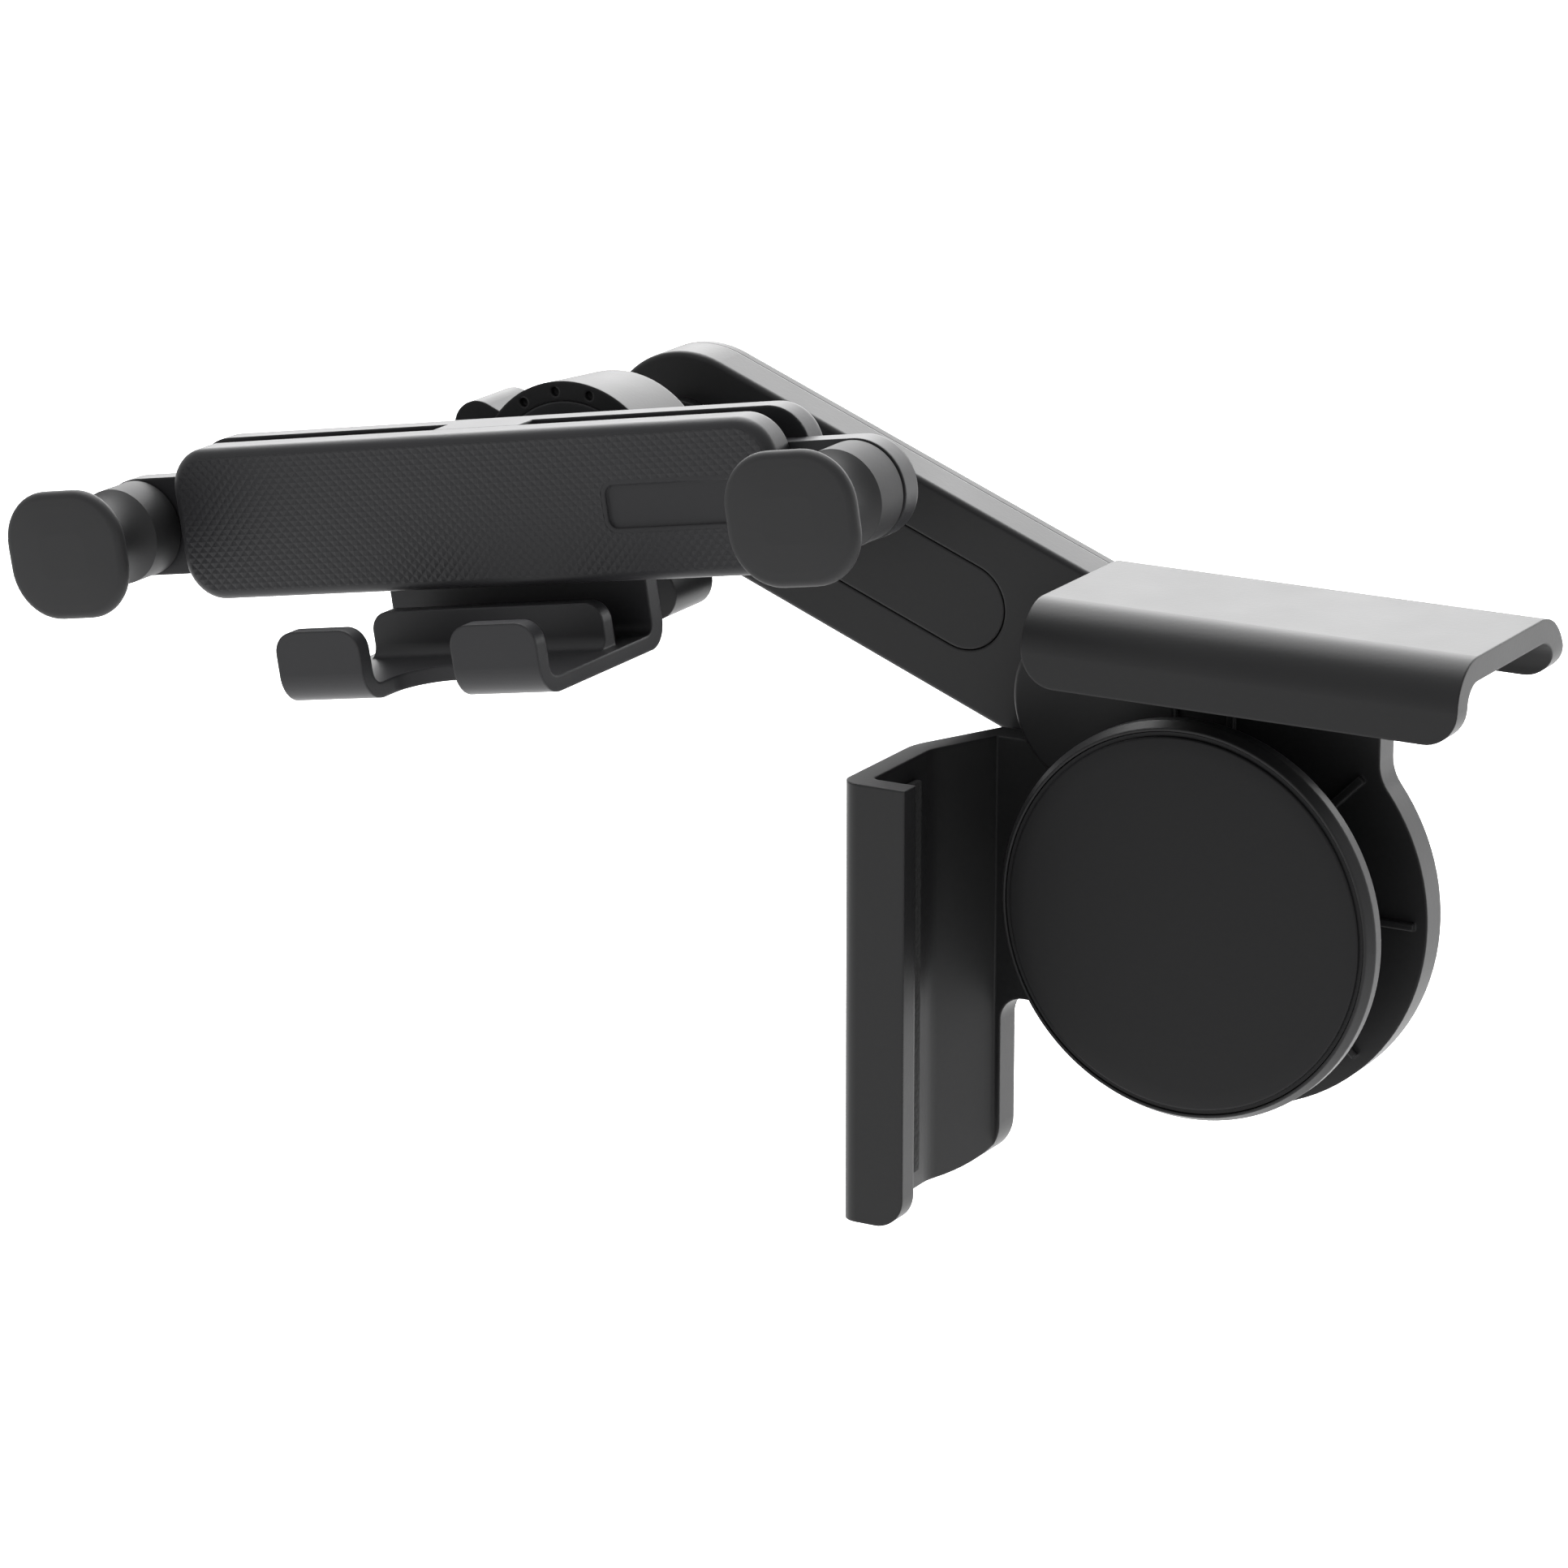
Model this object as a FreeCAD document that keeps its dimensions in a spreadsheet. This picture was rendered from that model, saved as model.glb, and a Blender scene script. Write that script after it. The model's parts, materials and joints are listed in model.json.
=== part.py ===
import FreeCAD, Part
import math
import os
import Sketcher

V = FreeCAD.Vector
doc = FreeCAD.newDocument("phone_holder")
sheet = doc.addObject("Spreadsheet::Sheet", "Sizes")
AXIS_Y = V(0, 1, 0)
AXIS_X = V(1, 0, 0)
AXIS_Z = V(0, 0, 1)


class Dim:
    """A size that knows both its number and the sheet expression it comes from."""

    def __init__(self, text, value):
        self.text = text
        self.value = value

    @staticmethod
    def of(other):
        return other if isinstance(other, Dim) else Dim(repr(float(other)), float(other))

    def __add__(self, other):
        o = Dim.of(other)
        return Dim("(%s + %s)" % (self.text, o.text), self.value + o.value)

    def __sub__(self, other):
        o = Dim.of(other)
        return Dim("(%s - %s)" % (self.text, o.text), self.value - o.value)

    def __mul__(self, other):
        o = Dim.of(other)
        return Dim("(%s * %s)" % (self.text, o.text), self.value * o.value)

    def __truediv__(self, other):
        o = Dim.of(other)
        return Dim("(%s / %s)" % (self.text, o.text), self.value / o.value)

    def __neg__(self):
        return Dim("(-1 * %s)" % self.text, -self.value)

    def __radd__(self, other):
        return Dim.of(other) + self

    def __rsub__(self, other):
        return Dim.of(other) - self


ZERO = Dim("0", 0.0)
# Cuts run this far past the face they open, and added forms start this far inside their root
PAST = 1.0
SUNK = 0.2
SIZES = {}


def size(alias, value):
    """Write one driving size into the sheet and hand back its Dim."""
    row = len(SIZES) + 1
    sheet.set("A%d" % row, alias)
    sheet.set("B%d" % row, str(value))
    sheet.setAlias("B%d" % row, alias)
    SIZES[alias] = value
    return Dim("Sizes.%s" % alias, float(value))


# Fits shared by mating pieces
fit_run = size("fit_running", 0.05)
fit_slide = size("fit_sliding", 0.15)
fit_seat = size("fit_seated", 0.03)

# Clamp frame: a plate behind the screen with a hook over its top and one round its side
plate_front = size("plate_front", 10.0)
plate_thick = size("plate_thick", 3.0)
plate_rad = size("plate_radius", 19.8)
neck_half = size("neck_half_width", 14.7)
neck_blend = size("neck_blend_radius", 4.0)
wall = size("clip_wall", 2.2)
lip_front = size("lip_front", 10.4)
top_left = size("top_clip_left", 11.1)
top_right = size("top_clip_right", 30.9)
top_z = size("top_clip_top", 30.7)
lip_low = size("top_lip_bottom", 23.4)
rear_lip_low = size("rear_lip_bottom", 24.6)
top_front_rad = size("top_front_radius", 4.2)
top_rear_rad = size("top_rear_radius", 5.4)
lip_corner = size("lip_corner_radius", 3.2)
rear_lip_corner = size("rear_lip_corner_radius", 3.0)
side_left = size("side_clip_left", 29.4)
side_lip_right = size("side_lip_right", 22.7)
side_top = size("side_clip_top", 11.9)
side_low = size("side_clip_bottom", 30.1)
side_bend = size("side_bend_start", 3.6)
side_slant_x = size("side_slant_run", 4.4)
side_rear_right = size("side_rear_right", 23.4)
side_bend_rad = size("side_bend_radius", 6.0)
web_low = size("web_bottom", 13.3)
web_blend = size("web_blend_radius", 2.4)
side_corner = size("side_rear_corner_radius", 4.0)
side_front_rad = size("side_front_radius", 1.8)
rib_wide = size("rib_width", 0.7)
rib_high = size("rib_height", 0.45)
boss_rad = size("boss_radius", 5.6)
boss_deep = size("boss_depth", 5.5)
rib_count = size("rib_count", 8)
rib_end = size("rib_end_margin", 1.2)
edge_soft = size("edge_softening", 0.5)

# Clamp screw with its round knob and pad
screw_rad = size("screw_radius", 2.5)
screw_long = size("screw_length", 17.5)
insert_rad = size("insert_radius", 4.0)
pad_rad = size("pad_radius", 17.5)
pad_thick = size("pad_thick", 1.1)
pad_plate_thick = size("pad_plate_thick", 1.4)
knob_wide = size("knob_rim_width", 0.8)
knob_thick = size("knob_thick", 4.4)
knob_rim = size("knob_rim_height", 2.4)
knob_recess = size("knob_recess_clearance", 0.45)
knob_rad = pad_rad + knob_recess + knob_wide
knob_edge = size("knob_edge_depth", 1.0)
knob_lip = size("knob_lip_width", 0.25)
knob_taper = size("knob_taper_depth", 2.3)
knob_taper_in = size("knob_taper_width", 1.7)
knob_hub = size("knob_hub_width", 3.0)
knob_hub_deep = size("knob_hub_depth", 1.2)
pad_edge = size("pad_edge_bevel", 0.3)
screw_tip = size("screw_tip_bevel", 0.6)
insert_sink = size("insert_sink", 0.2)
swivel_rad = size("swivel_pin_radius", 3.0)
swivel_long = size("swivel_pin_length", 2.2)

# Arm and its pivot
pivot_x = size("pivot_left", 13.7)
pivot_z = size("pivot_height", 16.5)
ear_rad = size("ear_radius", 8.6)
cap_rad = size("cap_radius", 8.3)
cap_thick = size("cap_thick", 0.8)
bolt_rad = size("bolt_radius", 2.0)
bolt_head = size("bolt_head_radius", 3.6)
bolt_head_high = size("bolt_head_height", 1.6)
washer_thick = size("washer_thick", 0.8)
washer_rad = size("washer_radius", 7.0)
bolt_nut_rad = size("bolt_nut_radius", 3.4)
bolt_nut_high = size("bolt_nut_height", 2.2)
bolt_sink = size("bolt_sink", 0.1)
bolt_room = size("bolt_head_room", 0.2)
arm_long = size("arm_length", 49.2)
arm_rise = size("arm_rise_angle", 21.5)
arm_half = size("arm_half_width", 9.1)
arm_shell_thick = size("arm_shell_thick", 4.4)
arm_cover_thick = size("arm_cover_thick", 1.4)
arm_skin = size("arm_skin", 2.0)
arm_wall = size("arm_wall", 2.6)
hollow_near = size("hollow_near_end", 17.0)
cover_screw_in = size("cover_screw_inset", 7.4)
cover_screw_up = size("cover_screw_offset", 4.8)
inlay_half = size("inlay_half_width", 4.1)
inlay_near = size("inlay_near_end", 17.0)
inlay_far = size("inlay_far_end", 37.0)
inlay_thick = size("inlay_thick", 0.9)
seam = size("seam_gap", 0.15)

# Ball joint
ball_rad = size("ball_radius", 5.5)
ball_stand = size("ball_standoff", 15.6)
stem_rad = size("stem_radius", 2.6)
collar_rad = size("collar_radius", 4.6)
collar_thick = size("collar_thick", 1.2)
liner_thick = size("liner_thick", 1.0)
rear_liner_low_angle = size("rear_liner_front_angle", 10)
rear_liner_high_angle = size("rear_liner_back_angle", 35)
front_liner_low_angle = size("front_liner_back_angle", 20)
front_liner_high_angle = size("front_liner_front_angle", 70)
socket_rad = size("socket_radius", 8.4)
socket_mouth = size("socket_mouth_setback", 1.0)
nut_slack = size("nut_take_up", 0.4)
neck_rad = size("hub_neck_radius", 6.8)
nut_front_rad = size("nut_front_radius", 10.3)
nut_back_rad = size("nut_back_radius", 9.6)
nut_front_off = size("nut_front_offset", 5.1)
nut_back_off = size("nut_back_offset", 4.0)
nut_mouth = size("nut_mouth_radius", 4.7)
lug_reach = size("lug_reach", 14.4)
lug_half = size("lug_half_width", 2.6)
upper_lug_angle = size("upper_lug_angle", 158)
lower_lug_angle = size("lower_lug_angle", -49.5)
lug_inset = size("lug_inset", 1.2)
dimple_count = size("nut_dimple_count", 16)
dimple_rad = size("nut_dimple_radius", 0.45)
dimple_deep = size("nut_dimple_depth", 0.6)
stem_sink = size("stem_sink", 3.4)
hub_gap = size("hub_neck_length", 8.7)

# Cradle
cradle_roll = size("cradle_roll_angle", 9.5)
hub_drop = size("hub_drop", 1.75)
face_half = size("face_half_length", 32.4)
face_high = size("face_half_height", 7.1)
face_rad = size("face_corner_radius", 3.9)
face_thick = size("face_thick", 3.1)
slot_deep = size("slot_depth", 2.5)
back_half = size("back_half_length", 33.0)
back_thick = size("back_thick", 3.1)
bridge_half = size("bridge_half_width", 4.6)
bridge_high = size("bridge_height", 1.5)
inset_near = size("inset_near_end", 14.6)
inset_far = size("inset_far_end", 29.2)
inset_low = size("inset_bottom", 2.2)
inset_top = size("inset_top", 1.7)
inset_deep = size("inset_depth", 0.3)
inset_rad = size("inset_corner_radius", 0.9)
post_out = size("screw_post_spacing", 21.0)
post_up = size("screw_post_height", 5.5)
post_rad = size("screw_post_radius", 1.1)
cradle_shank = size("cradle_screw_length", 4.4)
grip_drop = size("grip_drop", 0.45)
carrier_half = size("carrier_half_height", 4.6)
rack_margin = size("rack_end_margin", 1.0)
rack_gap = size("rack_to_arm_gap", 1.8)
tail_high = size("rack_back_height", 0.9)
grip_front = size("grip_front", 9.45)
grip_wide = size("grip_half_width", 6.5)
grip_high = size("grip_half_height", 6.0)
grip_round = size("grip_corner_radius", 4.9)
grip_flange = size("grip_flange_thick", 1.6)
grip_neck = size("grip_neck_flare", 5.2)
grip_hollow = size("grip_hollow_radius", 4.9)
grip_base = size("grip_base_radius", 4.5)
grip_base_front = size("grip_base_front", 0.9)
grip_clear = size("grip_to_plate_gap", 1.8)
grip_out = face_half + grip_base + grip_clear
grip_soft = size("grip_edge_radius", 0.7)

# Rack and pinion that keeps both side arms in step
gear_mod = size("gear_module", 0.6)
gear_teeth = size("gear_teeth", 10)
gear_press = size("gear_pressure_angle", 25)
gear_slack = size("gear_backlash", 0.12)
gear_add = size("gear_addendum", 0.5)
gear_ded = size("gear_dedendum", 0.7)
gear_pin = size("gear_pin_radius", 1.0)
rack_count = size("rack_teeth", 8)
spring_rad = size("spring_inner_radius", 1.3)
spring_strip = size("spring_strip_thick", 0.18)
spring_step = size("spring_half_turn_growth", 0.2)
spring_halves = size("spring_half_turns", 4)
spring_wide = size("spring_strip_width", 1.0)
spring_room = size("spring_pocket_clearance", 0.15)
spring_deep = size("spring_pocket_depth", 1.4)

# Foot bracket under the phone
foot_half = size("foot_half_width", 13.85)
foot_low = size("foot_bottom", 14.4)
foot_floor = size("foot_floor_thick", 1.4)
foot_reach = size("foot_reach", 13.4)
foot_lip = size("foot_lip_thick", 1.6)
foot_lip_top = size("foot_lip_top", 7.6)
foot_tab = size("foot_tab_width", 9.0)
foot_tab_rad = size("foot_tab_radius", 2.0)
foot_back_top = size("foot_back_top", 8.8)
foot_back_half = size("foot_back_half", 12.4)
foot_back_thick = size("foot_back_thick", 1.5)
foot_back_rad = size("foot_back_corner_radius", 1.8)
foot_rear_top = size("foot_rear_top", 7.5)
foot_rear_thick = size("foot_rear_thick", 1.8)
foot_corner = size("foot_rear_corner_radius", 2.4)
foot_front_bend = size("foot_front_bend_radius", 2.8)
foot_bend = size("foot_inner_bend_radius", 1.2)
tongue_half = size("tongue_half_width", 8.0)
tongue_top = size("tongue_top", 4.5)
tongue_room = size("tongue_way_room", 0.6)
tongue_thick = size("tongue_thick", 1.2)
foot_notch = size("foot_notch_back", 4.6)
foot_notch_rad = size("foot_notch_radius", 4.2)
liner_foam = size("foam_thick", 0.8)
screw_head = size("small_screw_head", 1.1)
screw_shank = size("small_screw_shank", 0.55)
screw_head_high = size("small_screw_head_height", 1.0)
screw_sink = size("small_screw_sink", 0.3)
cover_shank = size("cover_screw_length", 2.9)
screw_room = size("screw_hole_room", 0.1)
foam_inset = size("foam_end_inset", 2.0)
foam_side = size("side_foam_setback", 1.0)
doc.recompute()


def bind(obj, prop, dim):
    """Give a property its number and tie it to the sheet."""
    obj.setExpression(prop, dim.text)


def origin_feature(body, role):
    return [f for f in body.Origin.OriginFeatures if f.Role == role][0]


def new_body(name):
    return doc.addObject("PartDesign::Body", name)


def new_sketch(body, name, role, offset=ZERO):
    """Sketch on one of the body's own planes, shifted along that plane's normal."""
    sk = body.newObject("Sketcher::SketchObject", name)
    sk.AttachmentSupport = [(origin_feature(body, role), "")]
    sk.MapMode = "FlatFace"
    sk.AttachmentOffset = FreeCAD.Placement(V(0, 0, offset.value), FreeCAD.Rotation())
    if offset is not ZERO:
        sk.setExpression("AttachmentOffset.Base.z", offset.text)
    return sk


def front_sketch(body, name, y):
    """Sketch in X and Z on the plane that lies y behind the origin."""
    return new_sketch(body, name, "XZ_Plane", -y)


def pin_point(sk, geo, pos, x, y):
    """Tie a sketch point to the sheet by its distances from the sketch origin."""
    for kind, d, line in (("DistanceX", x, -2), ("DistanceY", y, -1)):
        if abs(d.value) < 1e-9:
            sk.addConstraint(Sketcher.Constraint("PointOnObject", geo, pos, line))
        elif d.value > 0:
            c = sk.addConstraint(Sketcher.Constraint(kind, -1, 1, geo, pos, d.value))
            sk.setExpression("Constraints[%d]" % c, d.text)
        else:
            c = sk.addConstraint(Sketcher.Constraint(kind, geo, pos, -1, 1, -d.value))
            sk.setExpression("Constraints[%d]" % c, (-d).text)


def polygon(sk, points):
    """Closed outline through points given as pairs of sizes."""
    pts = [(Dim.of(x), Dim.of(y)) for x, y in points]
    first = sk.GeometryCount
    for i, (x, y) in enumerate(pts):
        nx, ny = pts[(i + 1) % len(pts)]
        sk.addGeometry(Part.LineSegment(V(x.value, y.value, 0), V(nx.value, ny.value, 0)), False)
    for i in range(len(pts)):
        sk.addConstraint(Sketcher.Constraint("Coincident", first + i, 2, first + (i + 1) % len(pts), 1))
    for i, (x, y) in enumerate(pts):
        pin_point(sk, first + i, 1, x, y)


def rectangle(sk, x0, y0, x1, y1):
    polygon(sk, [(x0, y0), (x1, y0), (x1, y1), (x0, y1)])


def corner_waste(sk, x, y, rad):
    """What a rounding of the given radius takes off a lower right corner."""
    out_x, out_y = x + PAST, y - PAST
    pts = [(x, y + rad), (out_x, y + rad), (out_x, out_y), (x - rad, out_y), (x - rad, y)]
    for (ax, ay), (bx, by) in zip(pts, pts[1:]):
        sk.addGeometry(Part.LineSegment(V(ax.value, ay.value, 0), V(bx.value, by.value, 0)), False)
    whole = Part.Circle(V((x - rad).value, (y + rad).value, 0), V(0, 0, 1), rad.value)
    arc = sk.addGeometry(Part.ArcOfCircle(whole, -math.pi / 2, 0), False)
    for i in range(len(pts) - 2):
        sk.addConstraint(Sketcher.Constraint("Coincident", i, 2, i + 1, 1))
    sk.addConstraint(Sketcher.Constraint("Coincident", arc - 1, 2, arc, 1))
    sk.addConstraint(Sketcher.Constraint("Coincident", arc, 2, 0, 1))
    for i, (px, py) in enumerate(pts[:-1]):
        pin_point(sk, i, 1, px, py)
    pin_point(sk, arc, 1, *pts[-1])
    c = sk.addConstraint(Sketcher.Constraint("Radius", arc, rad.value))
    sk.setExpression("Constraints[%d]" % c, rad.text)


def circle(sk, x, y, rad):
    x, y = Dim.of(x), Dim.of(y)
    g = sk.addGeometry(Part.Circle(V(x.value, y.value, 0), V(0, 0, 1), rad.value), False)
    c = sk.addConstraint(Sketcher.Constraint("Radius", g, rad.value))
    sk.setExpression("Constraints[%d]" % c, rad.text)
    pin_point(sk, g, 3, x, y)


def pad(body, sk, length, back=False):
    f = body.newObject("PartDesign::Pad", sk.Name + "_pad")
    f.Profile = sk
    f.Reversed = back
    bind(f, "Length", Dim.of(length))
    doc.recompute()
    return f


def pocket(body, sk, length, front=False):
    before = body.Shape.Volume
    f = body.newObject("PartDesign::Pocket", sk.Name + "_cut")
    f.Profile = sk
    f.Reversed = front
    bind(f, "Length", Dim.of(length))
    doc.recompute()
    if not f.Shape.Volume < before:
        raise RuntimeError("nothing cut by " + sk.Name)
    return f


def revolve(body, sk, role):
    f = body.newObject("PartDesign::Revolution", sk.Name + "_turned")
    f.Profile = sk
    f.ReferenceAxis = (origin_feature(body, role), [""])
    f.Angle = 360
    doc.recompute()
    return f


def edges_where(feature, test):
    """Names of the straight or round edges whose middle and direction pass the test."""
    names = []
    for i, e in enumerate(feature.Shape.Edges):
        if e.Degenerated:
            continue
        mid = e.valueAt((e.FirstParameter + e.LastParameter) / 2)
        direction = e.tangentAt((e.FirstParameter + e.LastParameter) / 2)
        if test(e, mid, direction):
            names.append("Edge%d" % (i + 1))
    return names


def along(direction, axis):
    return abs(abs(direction.dot(axis)) - 1) < 1e-4


def soften(body, feature, radius, test, kind="Fillet"):
    """Round or bevel the edges of a feature that pass the test."""
    names = edges_where(feature, test)
    if not names:
        raise RuntimeError("no edge found to soften on " + feature.Name)
    f = body.newObject("PartDesign::" + kind, feature.Name + "_" + kind.lower())
    f.Base = (feature, names)
    bind(f, "Radius" if kind == "Fillet" else "Size", radius)
    doc.recompute()
    if f.Shape.isNull() or "Invalid" in f.State:
        raise RuntimeError("edge not softened on " + feature.Name)
    return f


def near(a, b, tol=0.02):
    return abs(a - b.value if isinstance(b, Dim) else a - b) < tol


def extrude_front(body, name, y, length, draw):
    """Pad towards the back from the plane y, with the outline drawn by draw."""
    sk = front_sketch(body, name, y)
    draw(sk)
    doc.recompute()
    return pad(body, sk, length, True)


def cut_front(body, name, y, length, draw):
    """Cut towards the back from the plane y."""
    sk = front_sketch(body, name, y)
    draw(sk)
    doc.recompute()
    return pocket(body, sk, length)


plate_back = plate_front + plate_thick
arm_front = plate_back + washer_thick
ball_y = arm_front - ball_stand


def build_clamp_frame():
    b = new_body("clamp_frame")
    extrude_front(b, "plate", plate_front, plate_thick, lambda s: circle(s, 0, 0, plate_rad))
    extrude_front(b, "web", plate_front, plate_thick, lambda s: rectangle(
        s, -side_rear_right - SUNK, -web_low, ZERO, side_top))
    extrude_front(b, "neck", plate_front, plate_thick, lambda s: rectangle(
        s, -top_left, 0, neck_half, top_z - top_rear_rad))
    ear = extrude_front(b, "ear", plate_front, plate_thick,
                        lambda s: circle(s, -pivot_x, pivot_z, ear_rad))
    soften(b, ear, neck_blend, lambda e, m, d: along(d, AXIS_Y) and near(m.x, neck_half)
           and plate_rad.value / 2 < m.z < (top_z - top_rear_rad).value - PAST)
    # hook over the top of the screen
    sk = new_sketch(b, "top_profile", "YZ_Plane", -top_left)
    rear_in = plate_back - wall
    polygon(sk, [(-lip_front, lip_low), (-lip_front, top_z), (plate_back, top_z), (plate_back, rear_lip_low),
                 (rear_in, rear_lip_low), (rear_in, top_z - wall), (-lip_front + wall, top_z - wall),
                 (-lip_front + wall, lip_low)])
    doc.recompute()
    clip = pad(b, sk, top_left + top_right)
    rounds = [(top_front_rad, lambda m: near(m.y, -lip_front) and near(m.z, top_z)),
              (top_rear_rad, lambda m: near(m.y, plate_back) and near(m.z, top_z)),
              (top_front_rad - wall, lambda m: near(m.y, -lip_front + wall) and near(m.z, top_z - wall)),
              (top_rear_rad - wall, lambda m: near(m.y, rear_in) and near(m.z, top_z - wall))]
    last = clip
    for rad, place in rounds:
        last = soften(b, last, rad, lambda e, m, d: along(d, AXIS_X) and place(m)
                      and e.Length > wall.value * 2)
    soften(b, last, lip_corner, lambda e, m, d: along(d, AXIS_Y) and near(m.z, lip_low) and m.y < 0)
    cut_front(b, "rear_lip_corner", ZERO, plate_back + PAST,
              lambda s: corner_waste(s, top_right, rear_lip_low, rear_lip_corner))
    # hook round the side of the screen
    sk = new_sketch(b, "side_profile", "XY_Plane", -side_low)
    slant_end = -side_left + side_slant_x
    polygon(sk, [(-side_lip_right, -lip_front), (-side_left, -lip_front), (-side_left, side_bend),
                 (slant_end, plate_back), (-side_rear_right, plate_back), (-side_rear_right, plate_front),
                 (slant_end + wall * 0.45, plate_front), (-side_left + wall, side_bend - wall * 0.3),
                 (-side_left + wall, -lip_front + wall), (-side_lip_right, -lip_front + wall)])
    doc.recompute()
    side = pad(b, sk, side_low + side_top)
    rounds = [(side_front_rad, lambda m: near(m.x, -side_left) and near(m.y, -lip_front)),
              (wall * 0.3, lambda m: near(m.x, -side_left + wall) and near(m.y, -lip_front + wall)),
              (side_bend_rad, lambda m: near(m.x, -side_left) and near(m.y, side_bend)),
              (side_bend_rad - wall, lambda m: near(m.x, -side_left + wall)
               and near(m.y, side_bend - wall * 0.3))]
    last = side
    for rad, place in rounds:
        last = soften(b, last, rad, lambda e, m, d: along(d, AXIS_Z) and place(m)
                      and e.Length > wall.value * 2)
    last = soften(b, last, lip_corner * 0.9, lambda e, m, d: along(d, AXIS_Y) and near(m.z, -side_low)
                  and near(m.x, -side_lip_right) and m.y < 0)
    soften(b, last, web_blend, lambda e, m, d: along(d, AXIS_Y) and near(m.x, -side_rear_right)
           and near(m.z, -web_low))
    cut_front(b, "side_corner", ZERO, plate_back + PAST,
              lambda s: corner_waste(s, -side_rear_right, -side_low, side_corner))
    # boss for the threaded insert, stiffening ribs and the bolt seat
    extrude_front(b, "boss", plate_back, boss_deep, lambda s: circle(s, 0, 0, boss_rad))
    rib = extrude_front(b, "rib", plate_front - rib_high, rib_high + SUNK, lambda s: rectangle(
        s, boss_rad, -rib_wide / 2, plate_rad - rib_end, rib_wide / 2))
    ring = b.newObject("PartDesign::PolarPattern", "ribs")
    ring.Originals = [rib]
    ring.Axis = (origin_feature(b, "Y_Axis"), [""])
    ring.Angle = 360
    ring.Occurrences = int(rib_count.value)
    b.Tip = ring
    doc.recompute()
    cut_front(b, "insert_hole", plate_front - PAST, plate_thick + boss_deep + PAST * 2,
              lambda s: circle(s, 0, 0, insert_rad))
    cut_front(b, "cap_seat", plate_front - PAST, PAST, lambda s: circle(s, -pivot_x, pivot_z, cap_rad + seam))
    cut_front(b, "bolt_hole", plate_front - PAST, plate_thick + PAST * 2,
              lambda s: circle(s, -pivot_x, pivot_z, bolt_rad + fit_run))
    cut_front(b, "bolt_seat", plate_front - PAST, bolt_head_high + bolt_sink + PAST,
              lambda s: circle(s, -pivot_x, pivot_z, bolt_head + bolt_room))
    return b


def turned(name, points, role="Y_Axis"):
    """Body turned about the Y axis from an outline of (radius, y) pairs."""
    b = new_body(name)
    sk = new_sketch(b, name + "_profile", "XY_Plane")
    polygon(sk, points)
    doc.recompute()
    revolve(b, sk, role)
    return b


def build_clamp_screw():
    """Pad, its backing plate, the round knob behind it and the threaded stem."""
    pad_back = pad_thick
    plate_end = pad_back + pad_plate_thick
    knob_in = plate_end + fit_slide
    knob_out = knob_in + knob_thick - knob_rim
    rubber = turned("clamp_pad", [
        (0, 0), (pad_rad - pad_edge, 0), (pad_rad, pad_edge), (pad_rad, pad_back), (0, pad_back)])
    plate = turned("pad_plate", [
        (0, pad_back), (pad_rad, pad_back), (pad_rad, plate_end), (swivel_rad, plate_end),
        (swivel_rad, plate_end + swivel_long), (0, plate_end + swivel_long)])
    recess = pad_rad + knob_recess
    rim_front = knob_in - knob_rim
    hole_end = plate_end + swivel_long + fit_slide
    hub_out = hole_end + knob_hub_deep
    knob = turned("clamp_knob", [
        (swivel_rad + fit_run, knob_in), (recess, knob_in), (recess, rim_front),
        (recess + knob_lip, rim_front),
        (knob_rad, rim_front + knob_edge), (knob_rad, knob_out - knob_taper),
        (knob_rad - knob_taper_in, knob_out), (swivel_rad + knob_hub, knob_out),
        (swivel_rad + knob_hub, hub_out), (screw_rad + fit_seat, hub_out),
        (screw_rad + fit_seat, hole_end), (swivel_rad + fit_run, hole_end)])
    screw = turned("clamp_screw", [
        (0, hole_end), (screw_rad, hole_end), (screw_rad, hole_end + screw_long - screw_tip),
        (screw_rad - screw_tip, hole_end + screw_long), (0, hole_end + screw_long)])
    insert = turned("threaded_insert", [
        (screw_rad + fit_run, plate_front + insert_sink), (insert_rad - fit_seat, plate_front + insert_sink),
        (insert_rad - fit_seat, plate_back + boss_deep), (screw_rad + fit_run, plate_back + boss_deep)])
    return [rubber, plate, knob, screw, insert]


def at_pivot(body, angle=None):
    """Move a body drawn round the origin onto the arm pivot, turned up by the arm's rise."""
    turn = FreeCAD.Rotation(AXIS_Y, angle.value if angle else 0)
    body.Placement = FreeCAD.Placement(V(-pivot_x.value, 0, pivot_z.value), turn)
    bind(body, "Placement.Base.x", -pivot_x)
    bind(body, "Placement.Base.z", pivot_z)
    if angle:
        bind(body, "Placement.Rotation.Angle", angle)
    doc.recompute()


def hexagon(rad):
    """Six corners of a nut outline."""
    turns = [math.radians(60 * i) for i in range(6)]
    return [(rad * math.cos(t), rad * math.sin(t)) for t in turns]


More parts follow.
